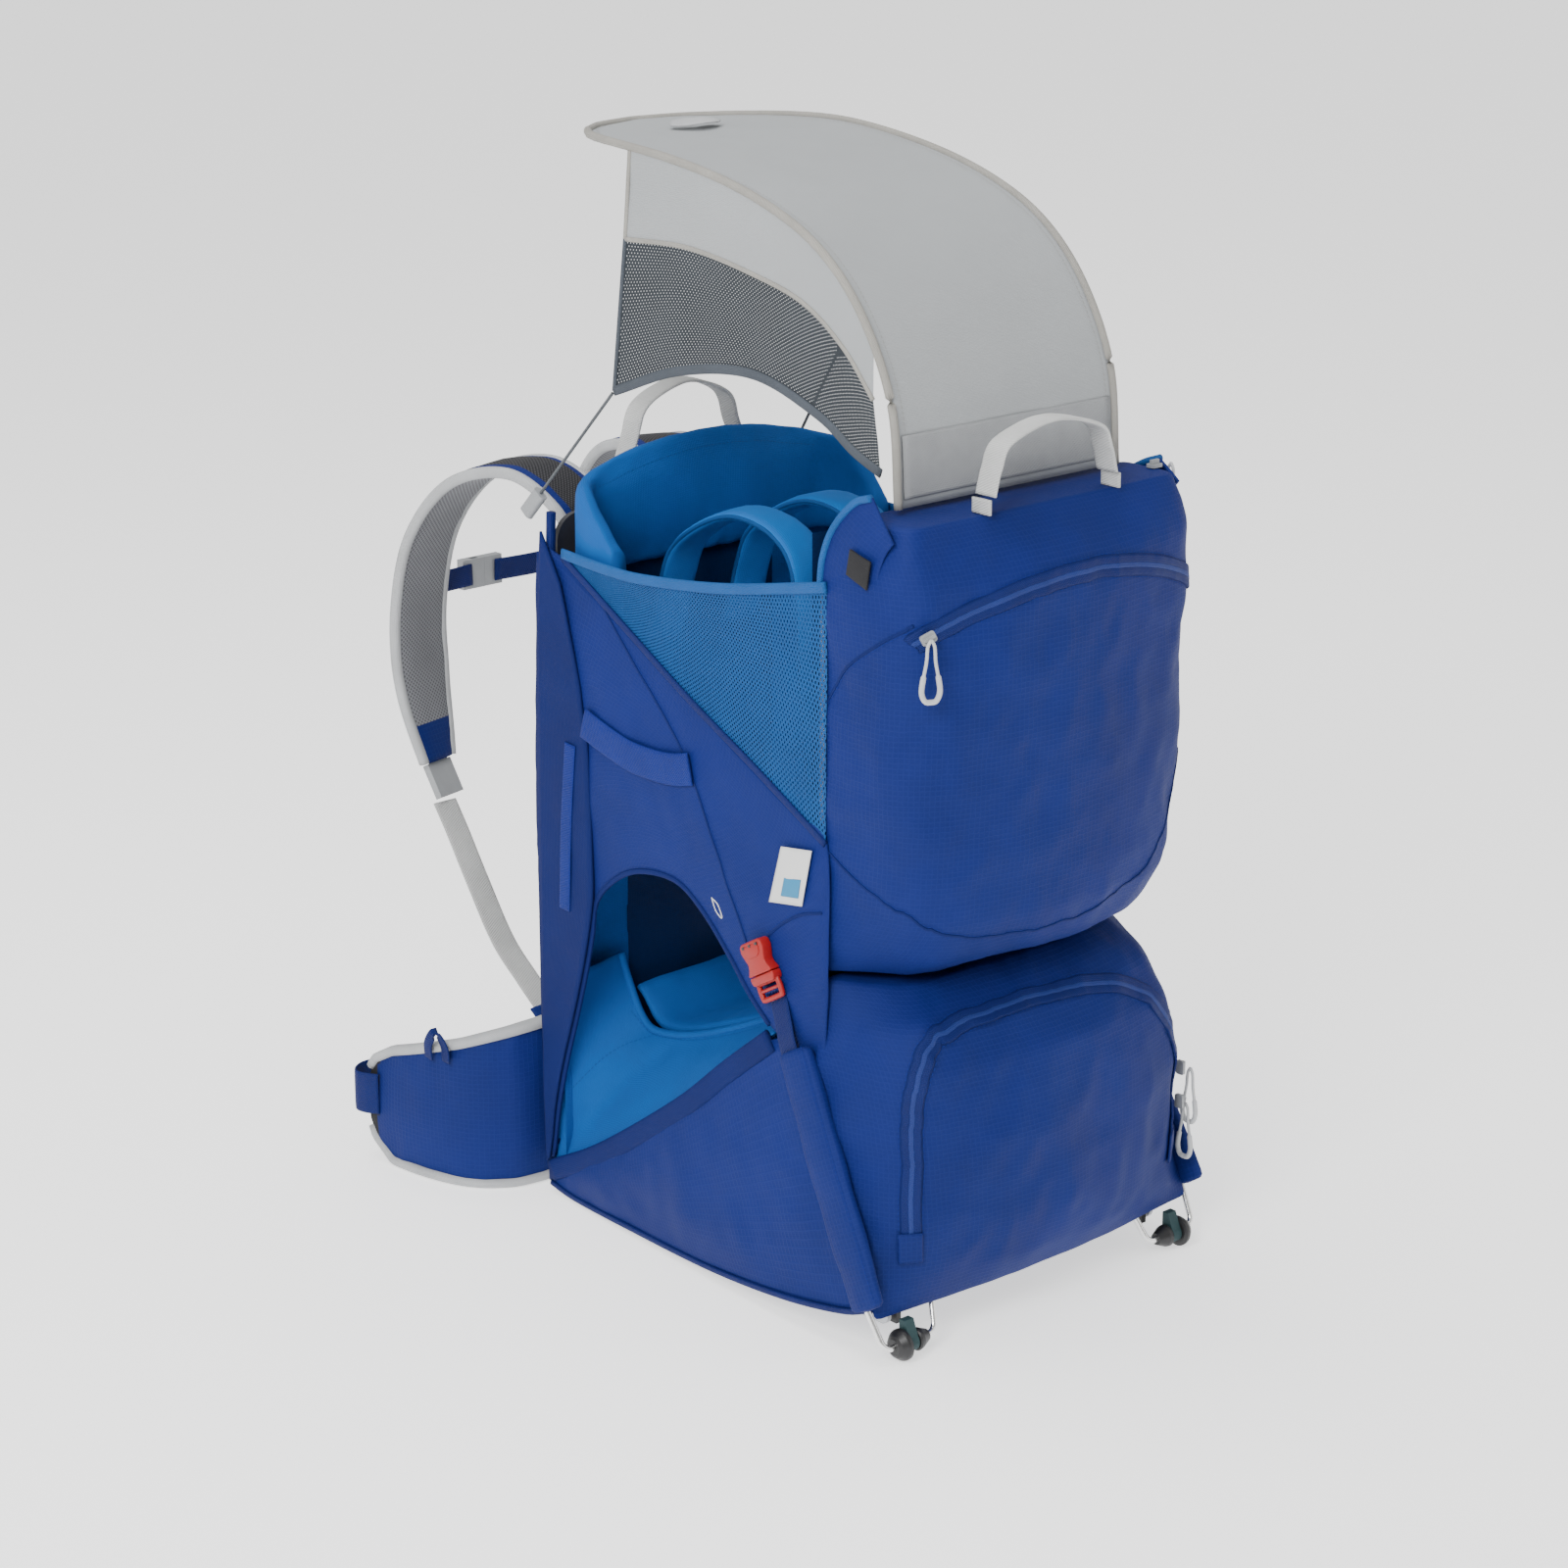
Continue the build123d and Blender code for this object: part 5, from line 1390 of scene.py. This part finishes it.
def make_hip_wing(label, hand):
    line = line_through([at(hand * x, d, 0) for x, d in WING_PLAN], 60)
    ahead = line[:, 1] / MM - FOOT_LINE
    low, high = np.interp(ahead, *WING_LOW), np.interp(ahead, *WING_HIGH)
    way = np.gradient(line, axis=0)
    way /= np.linalg.norm(way, axis=1)[:, None]
    rings = []
    for p, w, a, b in zip(line, way, low, high):
        out = np.cross(w, (0, 0, 1))
        ring = []
        for across, depth in pill(b - a, 12, 44, 3.6):
            ring.append(p + out * depth + np.array((0, 0, (a + b) / 2 * MM + across)))
        rings.append(ring)
    wing = grid(f"hip_wing_{label}_pad", rings, ["royal", "grey_mesh", "black_foam"], closed=True)
    inflate(wing, lambda p: (p[:, 2] < 0.012) + (p[:, 1] < at(0, 468, 0).y), pressure=1.2, cap=3)
    for polygon in wing.data.polygons:
        centre = np.array(polygon.center)
        nearest = np.argmin(np.linalg.norm(line[:, :2] - centre[:2], axis=1))
        if polygon.normal.x * hand < 0:
            polygon.material_index = 1
        elif ahead[nearest] > 590:
            polygon.material_index = 2
    crumple(wing, 1.6, 17, 81 + hand)
    settle(wing, f"hip_wing_{label}", [f"hip_wing_{label}"])
    parts = []
    for level, shift in ((low, -1.0), (high, 1.0)):
        rim = line + np.column_stack([np.zeros(60), np.zeros(60), (level + shift) * MM])
        parts.append(swept("rim", rim, (0, 0, 1), (9, 14.5, 16, 2.6), ["grey_binding"]))
    loop_line = line_through(places(WING_LOOP, hand), 24)
    parts.append(swept("loop", loop_line, (0.1, 1, 0), (12, 2.0, 12, 4.0), ["royal_webbing"]))
    settle(joined(f"hip_trim_{label}", parts), f"hip_wing_{label}")
    belt_line = line_through([at(hand * x, d, BELT_Z) for x, d in BELT_LINE], 50)
    belt = swept("belt", belt_line, (0, 0, 1), (38, 2.4, 14, 5.0), ["royal_webbing"])
    body_line = line_through([at(hand * x, d, BELT_Z) for x, d in BELT_BUCKLE], 20)
    waist = [(1 - 0.22 * math.sin(math.pi * s) ** 2, 1) for s in np.linspace(0, 1, 20)]
    half = swept("half", body_line, (0, 0, 1), (47, 11, 24, 4.5), ["grey_plastic"], waist)
    piece = joined(f"hip_buckle_{label}_belt", [belt, half])
    settle(piece, f"hip_wing_{label}", [f"hip_buckle_{label}"])


for label, hand in SIDES:
    make_shoulder_strap(label, hand)
make_yoke()
make_sternum()
for label, hand in SIDES:
    make_hip_wing(label, hand)


# ---------------------------------------------------------------- webbing loops, buckles, pulls and labels
HANDLES = (  # name, ahead, foot and height of the loop, half width of its shoulders, foot of the tabs, body
    ("front", 443, 622, 68, 50, 610, "back_frame"),
    ("rear", 16, 673.5, 50, 54, 660.5, "rear_frame"),
)


def make_handles():
    for name, ahead, base, height, shoulder, foot, body in HANDLES:
        low, high = base + 0.4 * height, base + 0.78 * height
        left = [(-66, base), (-shoulder - 6, low), (-shoulder + 6, high)]
        arch = left + [(0, base + height)] + [(-x, z) for x, z in reversed(left)]
        line = line_through([at(x, ahead, z) for x, z in arch], 70)
        loop = swept(f"{name}_handle_loop", line, (0, 1, 0), (22, 3.0, 14, 4.0), ["grey_webbing"])
        crumple(loop, 0.7, 22, 91)
        settle(loop, f"{name}_haul_handle", [f"{name}_haul_handle"])
        tabs = []
        for _, hand in SIDES:
            tab = line_through([at(hand * 70.2, ahead, z) for z in (foot, base - 6, base - 1.4)], 8)
            tabs.append(swept("tab", tab, (0, 1, 0), (20, 3.0, 12, 5.0), ["grey_webbing"]))
        settle(joined(f"{name}_handle_tabs_sewn", tabs), body, [f"{name}_handle_tabs"])


STRAP_DOWN = Vector((0, -0.5, -0.866))


def buckle_frame(hand, inner):
    """Point maker on a side buckle: s down the strap, t across it, h outward, all in mm."""
    origin = at(hand * inner, 150, 283)
    out = Vector((hand, 0, 0))
    across = out.cross(STRAP_DOWN)
    return lambda s, t, h: origin + (STRAP_DOWN * s + across * t + out * h) * MM


def plate(name, place, outline, low, high, look, bevel):
    """A flat moulded part from its outline, with softened edges."""
    count = len(outline)
    points = [place(s, t, low) for s, t in outline] + [place(s, t, high) for s, t in outline]
    faces = [tuple(range(count))[::-1], tuple(range(count, 2 * count))]
    faces += [(i, (i + 1) % count, count + (i + 1) % count, count + i) for i in range(count)]
    mesh = bpy.data.meshes.new(name)
    mesh.from_pydata([tuple(p) for p in points], [], faces)
    mesh.update()
    piece = link(mesh, name, [look])
    soft = piece.modifiers.new("edge", "BEVEL")
    soft.width = bevel * MM
    soft.segments = 3
    soft.angle_limit = math.radians(30)
    return piece


def mirror_outline(half):
    return half + [(s, -t) for s, t in reversed(half)]


SOCKET = [(-27, 11), (-25, 13.5), (-20, 14.3), (-15, 12.6), (-10, 10.6), (-6, 11.4), (-1.5, 14.3), (0, 14.4)]
SOCKET_BROW = [(-24, 8), (-21, 10), (-17, 9), (-14, 5)]
PLUG_HEAD = [(0.6, 14.2), (3.5, 14.8), (6.5, 14.0), (8.0, 12.4)]
PLUG_RING = [
    (7, 0), (7, 12.4), (14, 12.9), (20.5, 12.2), (20.8, 0), (20.5, -12.2), (14, -12.9), (7, -12.4), (7, 0),
]
LOWER_FALL = [(9, 2), (14, 3), (22, 3), (32, 5), (44, 7.4), (56, 10), (70, 11.4)]
THREAD = [(11, 2), (12, 5.5), (14.5, 7.6), (17, 5.5), (18, 3)]


def make_socket(place):
    """The socket's body, its raised brow and three dark eyelets."""
    parts = [
        plate("socket", place, mirror_outline(SOCKET), 0.4, 10.6, "red", 1.6),
        plate("brow", place, mirror_outline(SOCKET_BROW), 10.2, 11.4, "red", 0.5),
    ]
    for t in (-8.4, 0, 8.4):
        outline = [(-24.6, t - 1.5), (-24.6, t + 1.5), (-22.4, t + 1.5), (-22.4, t - 1.5)]
        parts.append(plate("eyelet", place, outline, 10.5, 11.7, "black", 0.3))
    return parts


def make_plug(label, place):
    """The plug: head, webbing ring with its bar, and two prongs."""
    out = tuple(place(0, 0, 1) - place(0, 0, 0))
    ring_line = line_through([place(s, t, 5.0) for s, t in PLUG_RING], 60, smooth=False)
    bar_line = line_through([place(13.4, t, 5.6) for t in (-12, 0, 12)], 8)
    parts = [
        plate("head", place, mirror_outline(PLUG_HEAD), 0.6, 10.0, "red", 1.4),
        tube("ring", ring_line, 2.3, "red", side=out),
        tube("bar", bar_line, 1.5, "red", side=(1, 0, 0)),
    ]
    for e in (-1, 1):
        outline = [(-15, e * 6.0), (-15, e * 9.4), (0.8, e * 10.4), (0.8, e * 6.6)][::e]
        parts.append(plate("prong", place, outline, 3.2, 7.6, "red", 0.8))
    plug = joined(f"side_buckle_plug_{label}_moulding", parts)
    settle(plug, f"side_buckle_plug_{label}", [f"side_buckle_plug_{label}"])


def make_side_buckles():
    sockets, webs = [], []
    for label, hand in SIDES:
        place = buckle_frame(hand, 163)
        sockets += make_socket(place)
        make_plug(label, place)
        flat = buckle_frame(hand, 160.4)
        side = tuple(flat(0, 1, 0) - flat(0, 0, 0))

        def web(name, pairs, count, section):
            line = line_through([flat(s, 0, h) for s, h in pairs], count)
            return swept(name, line, side, section, ["royal_webbing"])

        webs.append(web("upper_web", [(-33, 0), (-29, 0), (-25, 0)], 10, (20, 1.9, 12, 5.0)))
        tail = [
            web("lower_web", LOWER_FALL, 30, (21, 2.0, 12, 5.0)),
            web("thread", THREAD, 16, (19, 1.6, 12, 5.0)),
        ]
        settle(joined(f"side_buckle_tail_{label}", tail), f"side_buckle_plug_{label}")
    mouldings = joined("side_buckle_socket_mouldings", sockets)
    settle(mouldings, "rear_frame", ["side_buckle_sockets"])
    settle(joined("side_buckle_straps", webs), "rear_frame", ["buckle_webbing"])


PULL_LENGTH = 50
PULL_OUTLINE = [(0, 49), (2.6, 44), (3.6, 32), (6.2, 18), (7.0, 9), (4.4, 2.6), (0, 1.6)]
PULLS = (  # node, the way that it faces
    ("upper_zip_pull", (-0.47, -0.88, 0)),
    ("lower_zip_pull_a", (1, 0, 0)),
    ("lower_zip_pull_b", (1, 0, 0)),
    ("shade_zip_pull", (1, 0, 0)),
)


def make_pulls():
    """Each pull is a cord loop with a moulded grip at its far end."""
    mirrored = [(-a, z) for a, z in reversed(PULL_OUTLINE[1:-1])]
    outline = PULL_OUTLINE + mirrored + [PULL_OUTLINE[0]]
    for node, normal in PULLS:
        low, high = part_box(node)
        out = Vector(normal).normalized()
        across = out.cross(Vector((0, 0, 1)))
        centre = (low + high) / 2
        if node == "shade_zip_pull":
            centre.x = high.x - 1.5 * MM
        foot = Vector((centre.x, centre.y, low.z))
        line = line_through([foot + across * a * MM + Vector((0, 0, z * MM)) for a, z in outline], 70)
        share = (line[:, 2] - low.z) / (PULL_LENGTH * MM)
        swell = np.column_stack([np.where(share < 0.42, 1.65, 1.0)] * 2)
        ring = swept(node + "_loop", line, tuple(out), (2.6, 2.6, 10, 2.0), ["pull"], swell)
        settle(ring, node, [node])


LABELS = (  # name, corners as (ahead, z), look, distance from the middle, thickness
    ("care_label", ((136, 390), (101, 395), (112, 347), (150, 341)), "label", SIDE + 6.0, 1.0),
    ("care_label_print", ((131, 366), (112, 369), (115, 353), (135, 350)), "label_ink", SIDE + 7.1, 0.4),
    ("plain_side_tab", ((62, 640), (40, 634), (44, 612), (66, 620)), "black_foam", SIDE + 4.0, 1.6),
)


def make_labels():
    for name, corners, look, x, thick in LABELS:
        a, b, c, d = (at(-x, *p) for p in corners)
        ends = ([a, a.lerp(b, 0.5), b], [d, d.lerp(c, 0.5), c])
        piece = loft(name, *ends, 14, 14, [look], 1.2, out=(-1, 0, 0))
        settle(thicken(piece, thick), "rear_frame")


def dress_cad():
    """The CAD pieces that stay in view get their materials."""
    looks = {
        "kickstand_wire": "wire", "rear_hoop": "tube", "main_frame_tube": "tube", "front_rails": "tube",
        "rear_rails": "tube", "frame_floor_pads": "black", "rail_brackets": "black", "rail_lugs": "black",
        "frame_knuckles": "black", "foot_roller_left": "black", "foot_roller_right": "black",
        "foot_straps": "teal_webbing", "back_sheet": "sheet", "ladder_locks": "grey_plastic",
        "sternum_socket": "grey_plastic", "sternum_plug": "grey_plastic", "shade_hooks": "grey_plastic",
        "upper_zip_slider": "grey_plastic", "lower_zip_slider_a": "grey_plastic",
        "lower_zip_slider_b": "grey_plastic", "shade_zip_slider": "grey_plastic",
    }
    for node, look in looks.items():
        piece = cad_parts[node]
        piece.data.materials.clear()
        piece.data.materials.append(M[look])


make_handles()
make_side_buckles()
make_pulls()
make_labels()
dress_cad()


# ---------------------------------------------------------------- floor and light
LAMPS = (  # name, place, size, power
    ("key", (-2.6, -1.3, 2.3), 1.5, 120),
    ("fill", (2.2, -2.4, 1.5), 2.4, 22),
    ("top", (-0.3, 0.5, 3.2), 2.2, 75),
)
LAMP_AIM = (0, 0, 0.45)
FLOOR_REACH = 30.0
FLOOR_GREY = (0.86, 0.86, 0.86)
FLOOR_GLOW = 1.1
WORLD_GLOW = 0.55


def make_stage():
    look = "studio_floor"
    M[look] = weave(look, FLOOR_GREY, pitch=0.5, roughness=0.9, sheen=0.0, spread=0.005)
    corners = [(-1, -1), (1, -1), (1, 1), (-1, 1)]
    mesh = bpy.data.meshes.new("floor")
    mesh.from_pydata([(x * FLOOR_REACH, y * FLOOR_REACH, -0.0005) for x, y in corners], [], [(0, 1, 2, 3)])
    glow = M[look].node_tree.nodes["Principled BSDF"]
    glow.inputs["Emission Color"].default_value = (1, 1, 1, 1)
    glow.inputs["Emission Strength"].default_value = FLOOR_GLOW
    link(mesh, "floor", [look])
    world = bpy.data.worlds.new("studio")
    bpy.context.scene.world = world
    world.use_nodes = True
    world.node_tree.nodes["Background"].inputs["Color"].default_value = (1, 1, 1, 1)
    world.node_tree.nodes["Background"].inputs["Strength"].default_value = WORLD_GLOW
    for name, place, size, power in LAMPS:
        light = bpy.data.lights.new(name, "AREA")
        light.size = size
        light.energy = power
        lamp = bpy.data.objects.new(name, light)
        bpy.context.scene.collection.objects.link(lamp)
        lamp.location = place
        lamp.rotation_euler = (Vector(LAMP_AIM) - Vector(place)).to_track_quat("-Z", "Y").to_euler()


make_stage()
